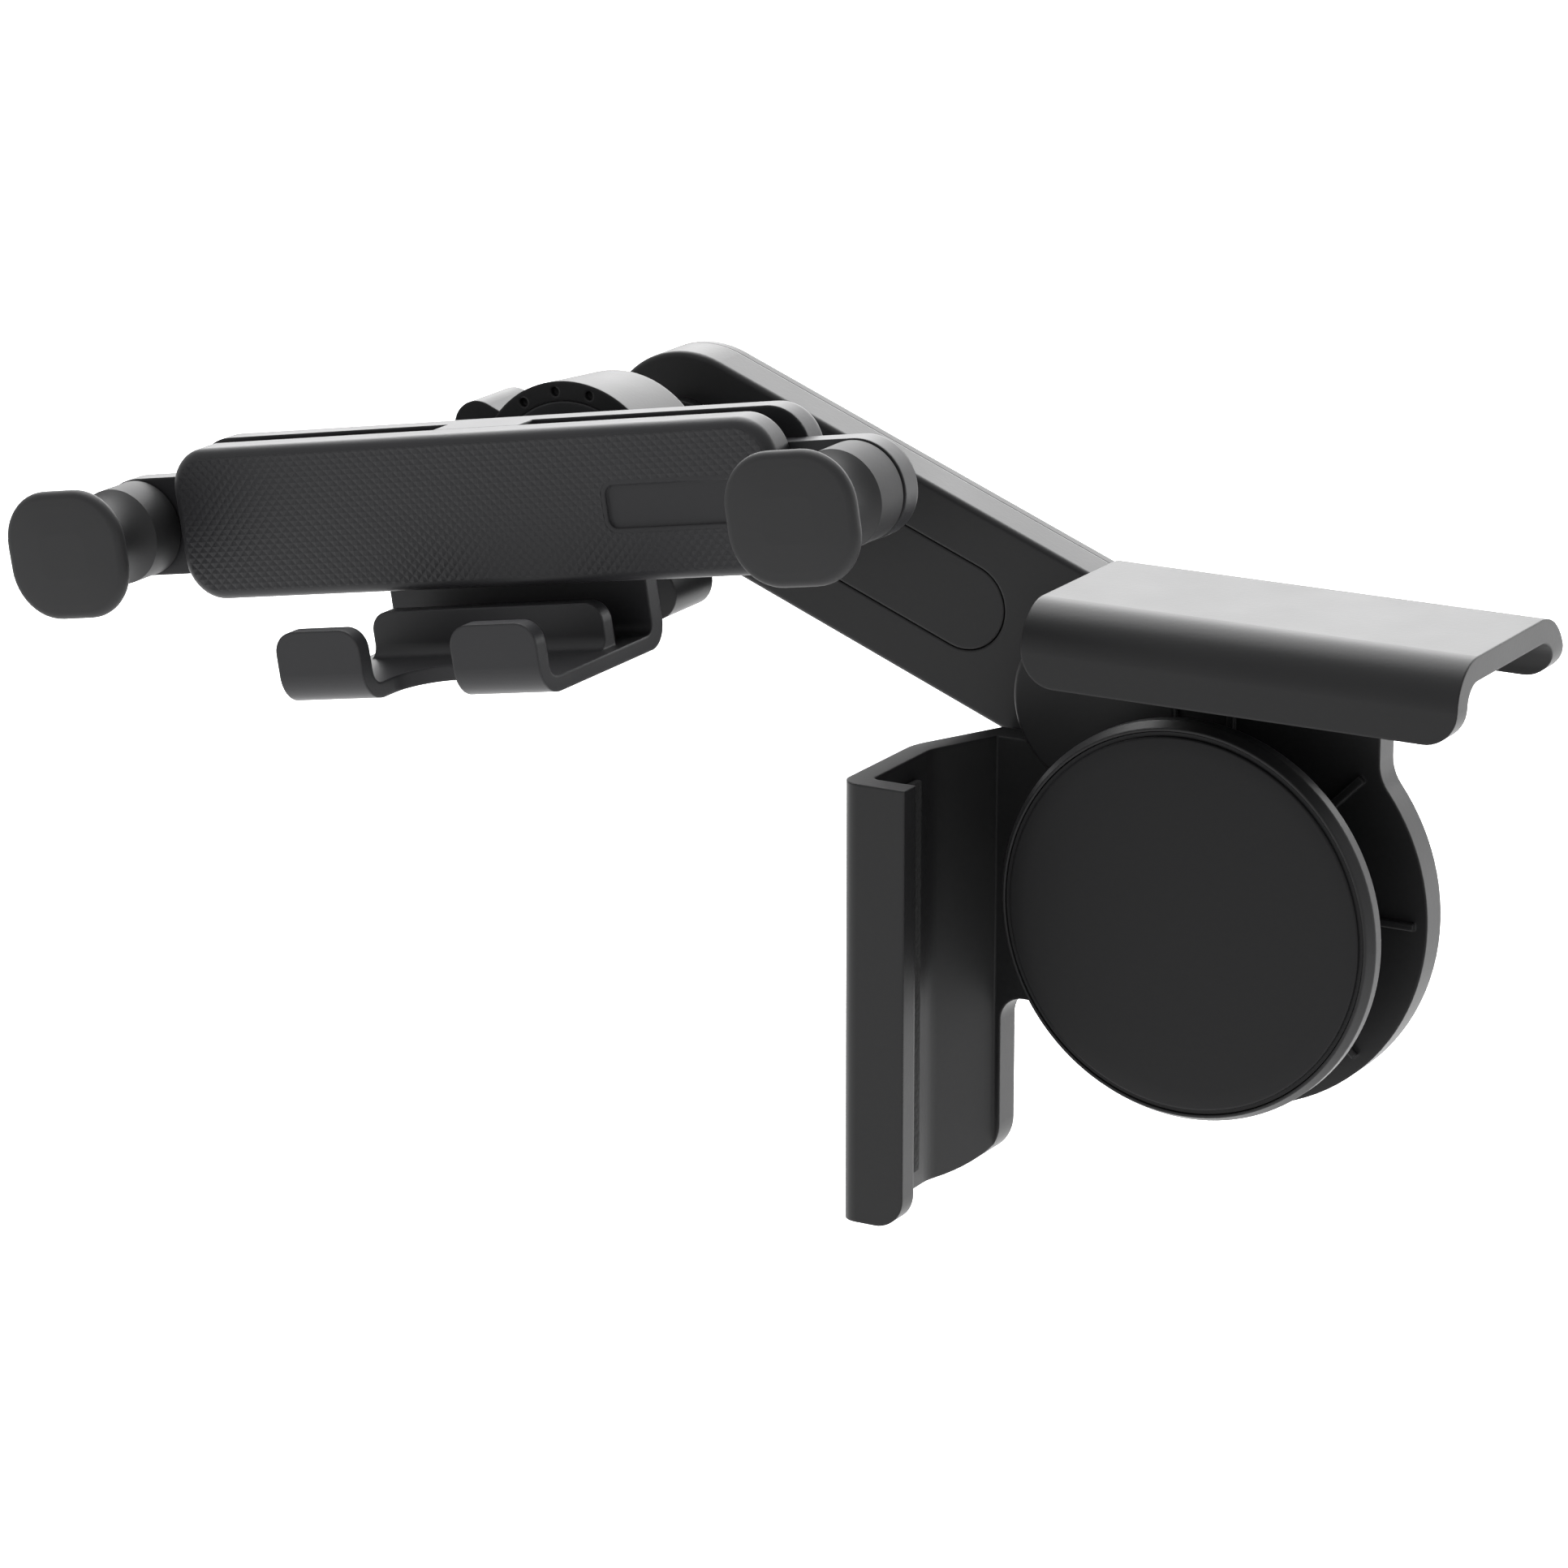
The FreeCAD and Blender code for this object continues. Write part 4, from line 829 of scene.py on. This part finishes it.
@dataclass
class ScreenClamp:
    """Frame with two hooks, the round pad, its knob and its screw."""

    # Pad: its face, the crown that swells it in steps, and the lip round it.
    pad_rad: float = 17.5
    pad_thick: float = 1.1
    pad_round: float = 0.25
    pad_round_steps: int = 4
    pad_crown: float = 0.04
    pad_crown_widths: tuple[float, ...] = (1.6, 5.0)
    pad_sides: int = 144
    lip_rad: float = 17.85
    lip_front: float = 0.4
    # Screw: its ends along Y, the plain collar at the knob and the cut tip.
    screw_near: float = 4.85
    screw_far: float = 22.35
    screw_sides: int = 48
    collar_long: float = 0.8
    collar_slope: float = 0.4
    tip_slope: float = 0.6
    # Thread: its radii and pitch, its start behind the near end, and the length left without it.
    thread_root: float = 2.05
    thread_crest: float = 2.5
    thread_pitch: float = 2.0
    thread_start: float = 1.6
    thread_spare: float = 3.4
    thread_sunk: float = 0.2
    thread_wide_share: float = 0.45
    thread_steps: int = 32
    # Foam strips: how far they stay inside their solids, and the waves of their cut skin.
    foam_skin: float = 0.04
    foam_round: float = 0.2
    foam_round_steps: int = 3
    foam_pitch: float = 1.4
    foam_long_share: float = 0.6
    foam_wave: float = 1.2
    foam_wave_share: float = 1.6
    foam_smooth_deg: float = 60.0

    def pad(self, finishes: Finishes) -> None:
        """Model the pressed rubber pad: a crowned face and a thin lip in the knob's recess.

        Args:
            finishes: the holder's finishes.
        """
        front = self.pad_crown * len(self.pad_crown_widths)
        disc = round_bar(
            "rubber_pad", self.lip_rad, self.lip_front, self.pad_thick, self.pad_sides
        )
        disc.faces(lambda m, n: n.y < -FACING)
        bpy.ops.mesh.inset(thickness=(self.lip_rad - self.pad_rad) * MM)
        disc.push(y=front - self.lip_front)
        disc.edges(lambda a, b: max(a.y, b.y) < front + SAME_MM)
        disc.soften(self.pad_round, self.pad_round_steps)
        disc.crown(self.pad_crown_widths, self.pad_crown)
        disc.close()
        disc.fit(Body.PAD, Slot.RUBBER, finishes.pad, "clamp_pad")

    def foam_strip(self, name: str, node: str, finishes: Finishes) -> None:
        """Model a die-cut foam strip in the place of its CAD node.

        Args:
            name: the strip's name.
            node: the CAD node that it stands for.
            finishes: the holder's finishes.
        """
        low, high = (Vector(corner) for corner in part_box(node))
        skin = Vector((1.0, 1.0, 1.0)) * self.foam_skin * MM
        clear_bench()
        bpy.ops.mesh.primitive_cube_add(size=1.0, location=(low + high) / 2)
        bpy.context.object.scale = high - low - skin * 2
        strip = Workpiece(name)
        strip.everything()
        strip.soften(self.foam_round, self.foam_round_steps)
        for axis in range(3):
            run = (high - low)[axis] / MM
            cuts = int(run / self.foam_pitch)
            if cuts:
                strip.edges(lambda a, b: abs(a[axis] - b[axis]) > run * self.foam_long_share)
                bpy.ops.mesh.subdivide(number_cuts=cuts)
        strip.modify("SUBSURF", subdivision_type="SIMPLE", levels=1, render_levels=1)
        cells = bpy.data.textures.new(name + "_unevenness", "CLOUDS")
        cells.noise_scale = self.foam_wave * MM
        strip.modify(
            "DISPLACE",
            texture=cells,
            texture_coords="LOCAL",
            strength=self.foam_skin * self.foam_wave_share * MM,
            mid_level=0.5,
        )
        strip.close(self.foam_smooth_deg)
        strip.fit(Body.CLAMP, Slot.FOAM, finishes.foam, node)

    def thread(self) -> Workpiece:
        """Wind the thread's ridge round the Y axis, with its foot inside the screw's core.

        Returns:
            The closed ridge.
        """
        high = self.thread_crest - self.thread_root + self.thread_sunk
        foot = self.thread_root - self.thread_sunk
        clear_bench()
        # A three-sided circle of radius 1 is 1.5 high, with its middle a third of the way up.
        bpy.ops.mesh.primitive_circle_add(
            vertices=3,
            radius=1.0,
            fill_type="NOTHING",
            location=(
                (foot + high / 3) * MM,
                (self.screw_near + self.thread_start) * MM,
                0.0,
            ),
            rotation=(0.0, 0.0, -math.pi / 2),
        )
        wide = self.thread_pitch * self.thread_wide_share
        bpy.context.object.scale = (wide * MM, high / 1.5 * MM, 1.0)
        ridge = Workpiece("thread_ridge")
        run = self.screw_far - self.screw_near - self.thread_spare
        ridge.modify(
            "SCREW",
            axis="Y",
            angle=math.tau,
            screw_offset=self.thread_pitch * MM,
            iterations=int(run / self.thread_pitch),
            steps=self.thread_steps,
            render_steps=self.thread_steps,
        )
        ridge.edit(Pick.EDGES)
        bpy.ops.mesh.select_non_manifold()
        bpy.ops.mesh.fill()
        ridge.close()
        return ridge

    def screw(self, finishes: Finishes) -> None:
        """Model the clamp screw: a turned core with a rolled thread wound round it.

        Args:
            finishes: the holder's finishes.
        """
        collar = self.screw_near + self.collar_long
        core = turned(
            "clamp_screw_rolled",
            [
                (0.0, self.screw_near),
                (self.thread_crest, self.screw_near),
                (self.thread_crest, collar),
                (self.thread_root, collar + self.collar_slope),
                (self.thread_root, self.screw_far - self.tip_slope),
                (self.thread_root - self.tip_slope, self.screw_far),
                (0.0, self.screw_far),
            ],
            self.screw_sides,
        )
        core.meet(self.thread(), Cut.JOIN)
        core.close()
        core.fit(Body.KNOB, Slot.STEEL, finishes.steel, "clamp_screw")

    def build(self, frame: dict[str, Any], finishes: Finishes) -> None:
        """Model and dress the clamp.

        Args:
            finishes: the holder's finishes.
        """
        self.pad(finishes)
        self.foam_strip("top_foam_strip", "top_clip_liner", finishes)
        self.foam_strip("side_foam_strip", "side_clip_liner", finishes)
        self.screw(finishes)
        dress(frame, ("clamp_frame", "clamp_knob", "pad_plate", "pivot_cap"), finishes.shell)
        dress(frame, ("pivot_washer",), finishes.nylon)
        dress(frame, ("threaded_insert",), finishes.brass)


@dataclass
class SwingArm:
    """Round-ended arm with its inlay, cover, pivot hardware and ball stud."""

    # Screws: where their heads' backs lie along Y, their length, and their places in X and Z.
    screw_back: float = 19.3
    screw_long: float = 2.9
    screw_spots: tuple[tuple[float, float], ...] = (
        (-18.826, 23.678),
        (-22.344, 14.746),
        (-50.832, 36.286),
        (-54.352, 27.354),
    )

    def build(self, frame: dict[str, Any], finishes: Finishes) -> None:
        """Model the arm's screws and dress the arm.

        Args:
            finishes: the holder's finishes.
        """
        PanScrew().drive(
            "arm_pan_screw",
            self.screw_long,
            [(x, self.screw_back, z) for x, z in self.screw_spots],
            Body.ARM,
            "arm_screws",
            finishes.steel,
        )
        dress(frame, ("arm_shell", "arm_rear_cover", "arm_inlay"), finishes.shell)
        dress(frame, ("ball_stud",), finishes.nylon)
        dress(frame, ("pivot_bolt", "pivot_nut"), finishes.steel)


@dataclass
class BallJoint:
    """Friction liners and the lugged ring nut."""

    def build(self, frame: dict[str, Any], finishes: Finishes) -> None:
        """Dress the joint."""
        dress(frame, ("ball_nut",), finishes.shell)
        dress(frame, ("rear_ball_liner", "front_ball_liner"), finishes.nylon)


@dataclass
class Cradle:
    """Two plates with the sliding arms, the grips and what drives them.

    Its pieces are modelled in the cradle's own frame: X to the right along the plate, Y back from
    the plate's front face, Z up across it.
    """

    # The middle of the plate's front face in the shared frame, and the plate's turn about Y.
    middle: tuple[float, float, float] = (-59.7654, -24.3, 36.25786)
    roll_deg: float = 9.5
    # Plate and knurl: half lengths of the plate, and the pyramids that stand on it.
    plate_long: float = 32.4
    plate_high: float = 7.1
    plate_corner: float = 3.9
    knurl_margin: float = 0.9
    knurl_pitch: float = 0.715
    knurl_rise: float = 0.05
    knurl_lift: float = 0.004
    knurl_sunk: float = 0.2
    knurl_spare: float = 0.1
    knurl_spare_cells: int = 2
    knurl_smooth_deg: float = 1.0
    bisect_slack: float = 0.0001
    cutter_reach: float = 1.0
    # Inset: the plain recess that the knurl leaves free.
    inset_low: tuple[float, float] = (14.6, -2.2)
    inset_high: tuple[float, float] = (29.2, 1.7)
    inset_corner: float = 0.9
    inset_border: float = 0.45
    # Grips: their place, the flange that faces the front, the hollow neck and the round base.
    grip_out: float = 38.7
    grip_drop: float = 0.45
    grip_front: float = 9.45
    grip_wide: float = 6.5
    grip_high: float = 6.0
    grip_corner: float = 4.9
    grip_flange: float = 1.6
    grip_edge: float = 0.7
    grip_edge_steps: int = 6
    grip_crown: float = 0.05
    grip_crown_widths: tuple[float, ...] = (0.7, 1.1, 1.4)
    neck_flare: float = 5.2
    neck_hollow: float = 4.9
    neck_sunk: float = 0.4
    neck_steps: int = 14
    neck_sides: int = 96
    base_rad: float = 4.5
    base_front: float = 0.9
    base_back: float = 3.25
    base_edge: float = 0.3
    # Screws: in the shared frame, as on the arm.
    screw_back: float = -15.9
    screw_long: float = 4.4
    screw_spots: tuple[tuple[float, float], ...] = ((-81.385, 38.216), (-39.961, 45.148))

    def place(self, x: float = 0.0, z: float = 0.0) -> Matrix:
        """Find where a point of the cradle's own frame lies in the shared frame.

        Args:
            x: how far it lies along the plate, in millimetres.
            z: how far it lies across the plate.

        Returns:
            The turn and shift that take a piece there.
        """
        turn = Matrix.Rotation(math.radians(-self.roll_deg), 4, "Y")
        start = Matrix.Translation(Vector(self.middle) * MM)
        return start @ turn @ Matrix.Translation(Vector((x, 0.0, z)) * MM)

    def neck_profile(self) -> list[tuple[float, float]]:
        """Half section of a grip's hollow neck and round base, from axis to axis.

        Returns:
            Radius and place along the grip's axis, in millimetres.
        """
        top = Vector((self.neck_flare, self.grip_flange - self.grip_front))
        low = Vector((self.base_rad, -self.base_front))
        run = low - top
        out = Vector((run.y, -run.x)).normalized()
        hub = (top + low) / 2 + out * math.sqrt(self.neck_hollow**2 - (run.length / 2) ** 2)
        start, end = (math.atan2(p.y - hub.y, p.x - hub.x) % math.tau for p in (top, low))
        arc = [start + (end - start) * i / self.neck_steps for i in range(self.neck_steps + 1)]
        ring = [hub + Vector((math.cos(a), math.sin(a))) * self.neck_hollow for a in arc]
        root = top.y - self.neck_sunk
        return [
            (0.0, root),
            (self.neck_flare, root),
            *[(p.x, p.y) for p in ring],
            (self.base_rad, self.base_back - self.base_edge),
            (self.base_rad - self.base_edge, self.base_back),
            (0.0, self.base_back),
        ]

    def grip(self) -> Workpiece:
        """Model one grip round its own axis: a crowned square flange on a hollow neck.

        Returns:
            The grip, with its axis through the origin.
        """
        spool = rounded_block(
            "grip",
            (-self.grip_wide, -self.grip_high),
            (self.grip_wide, self.grip_high),
            self.grip_corner,
            self.grip_crown * len(self.grip_crown_widths) - self.grip_front,
            self.grip_flange - self.grip_front,
        )
        spool.edges(lambda a, b: abs(a.y - b.y) < SAME_MM)
        spool.soften(self.grip_edge, self.grip_edge_steps)
        spool.crown(self.grip_crown_widths, self.grip_crown)
        spool.close()
        spool.meet(turned("neck", self.neck_profile(), self.neck_sides), Cut.JOIN)
        spool.close()
        return spool

    def pyramids(self, long: float, high: float) -> Workpiece:
        """Model a rectangular slab of low pyramids that stand on their corners.

        Args:
            long: half of its length, in millimetres.
            high: half of its height.

        Returns:
            The slab, with its flat back sunk into the plate.
        """
        cells = math.ceil((long + high) * math.sqrt(2.0) / self.knurl_pitch)
        cells += self.knurl_spare_cells
        clear_bench()
        bpy.ops.mesh.primitive_grid_add(
            x_subdivisions=cells,
            y_subdivisions=cells,
            size=cells * self.knurl_pitch * MM,
            location=(0.0, -self.knurl_lift * MM, 0.0),
            rotation=(math.pi / 2, math.pi / 4, 0.0),
        )
        slab = Workpiece("plate_knurl")
        slab.everything()
        bpy.ops.mesh.poke(offset=self.knurl_rise * MM)
        for reach, normal in (
            (long, (1.0, 0.0, 0.0)),
            (long, (-1.0, 0.0, 0.0)),
            (high, (0.0, 0.0, 1.0)),
            (high, (0.0, 0.0, -1.0)),
        ):
            slab.everything()
            bpy.ops.mesh.bisect(
                plane_co=Vector(normal) * (reach + self.knurl_spare) * MM,
                plane_no=normal,
                clear_outer=True,
                threshold=self.bisect_slack * MM,
            )
        slab.everything()
        slab.push(y=self.knurl_sunk)
        back = (0.0, self.knurl_sunk * MM, 0.0)
        bpy.ops.transform.resize(value=(1.0, 0.0, 1.0), center_override=back)
        slab.close()
        return slab

    def knurl(self, finishes: Finishes) -> None:
        """Trim the field of pyramids to the front plate's outline and clear of the inset.

        Args:
            finishes: the holder's finishes.
        """
        long, high = self.plate_long - self.knurl_margin, self.plate_high - self.knurl_margin
        field = self.pyramids(long, high)
        outline = rounded_block(
            "outline",
            (-long, -high),
            (long, high),
            self.plate_corner - self.knurl_margin,
            -self.cutter_reach,
            self.cutter_reach,
        )
        field.meet(outline, Cut.TRIM)
        border = Vector((self.inset_border, self.inset_border))
        window = rounded_block(
            "window",
            Vector(self.inset_low) - border,
            Vector(self.inset_high) + border,
            self.inset_corner + self.inset_border,
            -self.cutter_reach,
            self.cutter_reach,
        )
        field.meet(window, Cut.REMOVE)
        field.close(self.knurl_smooth_deg)
        field.settle(self.place())
        field.fit(Body.CRADLE, Slot.ABS, finishes.knurl)

    def build(self, frame: dict[str, Any], finishes: Finishes) -> None:
        """Model and dress the cradle.

        Args:
            finishes: the holder's finishes.
        """
        first = self.grip()
        for body, hand in ((Body.LEFT, -1), (Body.RIGHT, 1)):
            grip = first.copy(f"soft_grip_{body.value}")
            grip.settle(self.place(hand * self.grip_out, -self.grip_drop))
            grip.fit(body, Slot.RUBBER, finishes.grip, f"{body.value}_grip")
        first.scrap()
        self.knurl(finishes)
        PanScrew().drive(
            "cradle_pan_screw",
            self.screw_long,
            [(x, self.screw_back, z) for x, z in self.screw_spots],
            Body.CRADLE,
            "cradle_screws",
            finishes.steel,
        )
        dress(frame, ("cradle_front_plate", "cradle_rear_shell"), finishes.cradle)
        dress(frame, ("left_arm", "right_arm"), finishes.cradle)
        dress(frame, ("drive_pinion",), finishes.nylon)
        dress(frame, ("closing_spring",), finishes.steel)


@dataclass
class SlidingFoot:
    """Foot that carries the phone's lower edge."""

    def build(self, frame: dict[str, Any], finishes: Finishes) -> None:
        """Dress the foot."""
        dress(frame, ("foot_bracket",), finishes.cradle)


@dataclass(frozen=True)
class Lamp:
    """Soft rectangular lamp, with its place, aim and size in metres."""

    name: str
    place: tuple[float, float, float]
    aim: tuple[float, float, float]
    size: tuple[float, float]
    watts: float

    def hang(self) -> None:
        """Put the lamp in the scene, turned to its aim."""
        data = bpy.data.lights.new(self.name, "AREA")
        data.shape = "RECTANGLE"
        data.size, data.size_y = self.size
        data.energy = self.watts
        lamp = bpy.data.objects.new(self.name, data)
        lamp.location = self.place
        beam = Vector(self.aim) - Vector(self.place)
        lamp.rotation_euler = beam.to_track_quat("-Z", "Y").to_euler()
        bpy.context.scene.collection.objects.link(lamp)


@dataclass
class Studio:
    """White room, soft lamps and the camera that took the picture."""

    azimuth_deg: float = 29.56
    elevation_deg: float = 16.32
    distance_mm: float = 580.0
    right_mm: float = -35.69
    up_mm: float = 12.73
    lens_mm: float = 147.8
    sensor_mm: float = 36.0
    nearest_mm: float = 50.0
    floor_mm: float = -140.0
    floor_wide_mm: float = 5000.0
    room_light: float = 0.4
    paper_tint: str = "#f4f4f4"
    paper_lift: float = 0.62
    lamps: tuple[Lamp, ...] = (
        Lamp("back_softbox", (-0.3, 0.9, 0.5), (-0.03, 0.0, 0.02), (1.5, 0.7), 18.0),
        Lamp("top_softbox", (-0.4, 0.35, 0.95), (-0.03, 0.0, 0.0), (1.0, 0.7), 12.0),
        Lamp("right_strip", (0.6, 0.75, 0.1), (-0.02, 0.0, 0.0), (0.4, 0.9), 5.0),
    )

    def camera(self) -> None:
        """Place the camera at the photograph's viewpoint."""
        az, el = math.radians(self.azimuth_deg), math.radians(self.elevation_deg)
        right = Vector((math.cos(az), math.sin(az), 0.0))
        up = Vector((-math.sin(el) * math.sin(az), math.sin(el) * math.cos(az), math.cos(el)))
        toward = Vector(
            (math.sin(az) * math.cos(el), -math.cos(az) * math.cos(el), math.sin(el))
        )
        data = bpy.data.cameras.new("picture_camera")
        data.sensor_width = self.sensor_mm
        data.lens = self.lens_mm
        data.clip_start = self.nearest_mm * MM
        shot = bpy.data.objects.new("picture_camera", data)
        shot.matrix_world = Matrix((right, up, toward)).transposed().to_4x4()
        shot.location = (
            right * self.right_mm + up * self.up_mm + toward * self.distance_mm
        ) * MM
        bpy.context.scene.collection.objects.link(shot)
        bpy.context.scene.camera = shot

    @staticmethod
    def seen_white(tree: bpy.types.NodeTree) -> bpy.types.NodeSocket:
        """Find the rays that see the white surroundings.

        Args:
            tree: the node tree of the floor or the world.

        Returns:
            1 for camera, glossy and transmission rays, and 0 for the rest.
        """
        path = add_node(tree, "ShaderNodeLightPath").outputs
        pair = add_node(
            tree,
            "ShaderNodeMath",
            {0: path["Is Camera Ray"], 1: path["Is Glossy Ray"]},
            operation="MAXIMUM",
        )
        every = add_node(
            tree,
            "ShaderNodeMath",
            {0: pair.outputs["Value"], 1: path["Is Transmission Ray"]},
            operation="MAXIMUM",
        )
        return every.outputs["Value"]

    def paper(self) -> bpy.types.Material:
        """White matt paper that keeps the holder's shadow.

        Returns:
            Diffuse paper, with a lift to white for what the picture and the gloss see of it.
        """
        mat, tree = bare_material("paper_white_matt")
        matt = add_node(tree, "ShaderNodeBsdfDiffuse", {"Color": linear(self.paper_tint)})
        lift = add_node(
            tree,
            "ShaderNodeMath",
            {0: self.seen_white(tree), 1: self.paper_lift},
            operation="MULTIPLY",
        )
        white = add_node(tree, "ShaderNodeEmission", {"Strength": lift.outputs["Value"]})
        both = add_node(
            tree,
            "ShaderNodeAddShader",
            {0: matt.outputs["BSDF"], 1: white.outputs["Emission"]},
        )
        add_node(tree, "ShaderNodeOutputMaterial", {"Surface": both.outputs["Shader"]})
        return mat

    def world(self) -> None:
        """White surroundings that light the holder softly."""
        world = bpy.data.worlds.new("white_room")
        world.use_nodes = True
        tree = world.node_tree
        tree.nodes.clear()
        strength = add_node(
            tree,
            "ShaderNodeMapRange",
            {"Value": self.seen_white(tree), "To Min": self.room_light, "To Max": 1.0},
        )
        back = add_node(
            tree,
            "ShaderNodeBackground",
            {"Color": (1.0, 1.0, 1.0, 1.0), "Strength": strength.outputs["Result"]},
        )
        add_node(tree, "ShaderNodeOutputWorld", {"Surface": back.outputs["Background"]})
        bpy.context.scene.world = world

    def floor(self) -> None:
        """Lay the paper floor below the hanging holder."""
        clear_bench()
        bpy.ops.mesh.primitive_plane_add(
            size=self.floor_wide_mm * MM, location=(0.0, 0.0, self.floor_mm * MM)
        )
        ground = bpy.context.object
        ground.name = "studio_floor"
        ground.data.materials.append(self.paper())

    def build(self) -> None:
        """Set the whole studio."""
        self.world()
        self.floor()
        for lamp in self.lamps:
            lamp.hang()
        self.camera()
        bpy.context.scene.view_settings.view_transform = "Standard"


def main() -> None:
    """Load the frame, model and dress each sub-assembly, then set the studio."""
    logging.basicConfig(level=logging.INFO, format="%(name)s: %(message)s")
    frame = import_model()
    finishes = Finishes()
    for group in (ScreenClamp(), SwingArm(), BallJoint(), Cradle(), SlidingFoot()):
        group.build(frame, finishes)
    Studio().build()


if __name__ == "__main__":
    main()
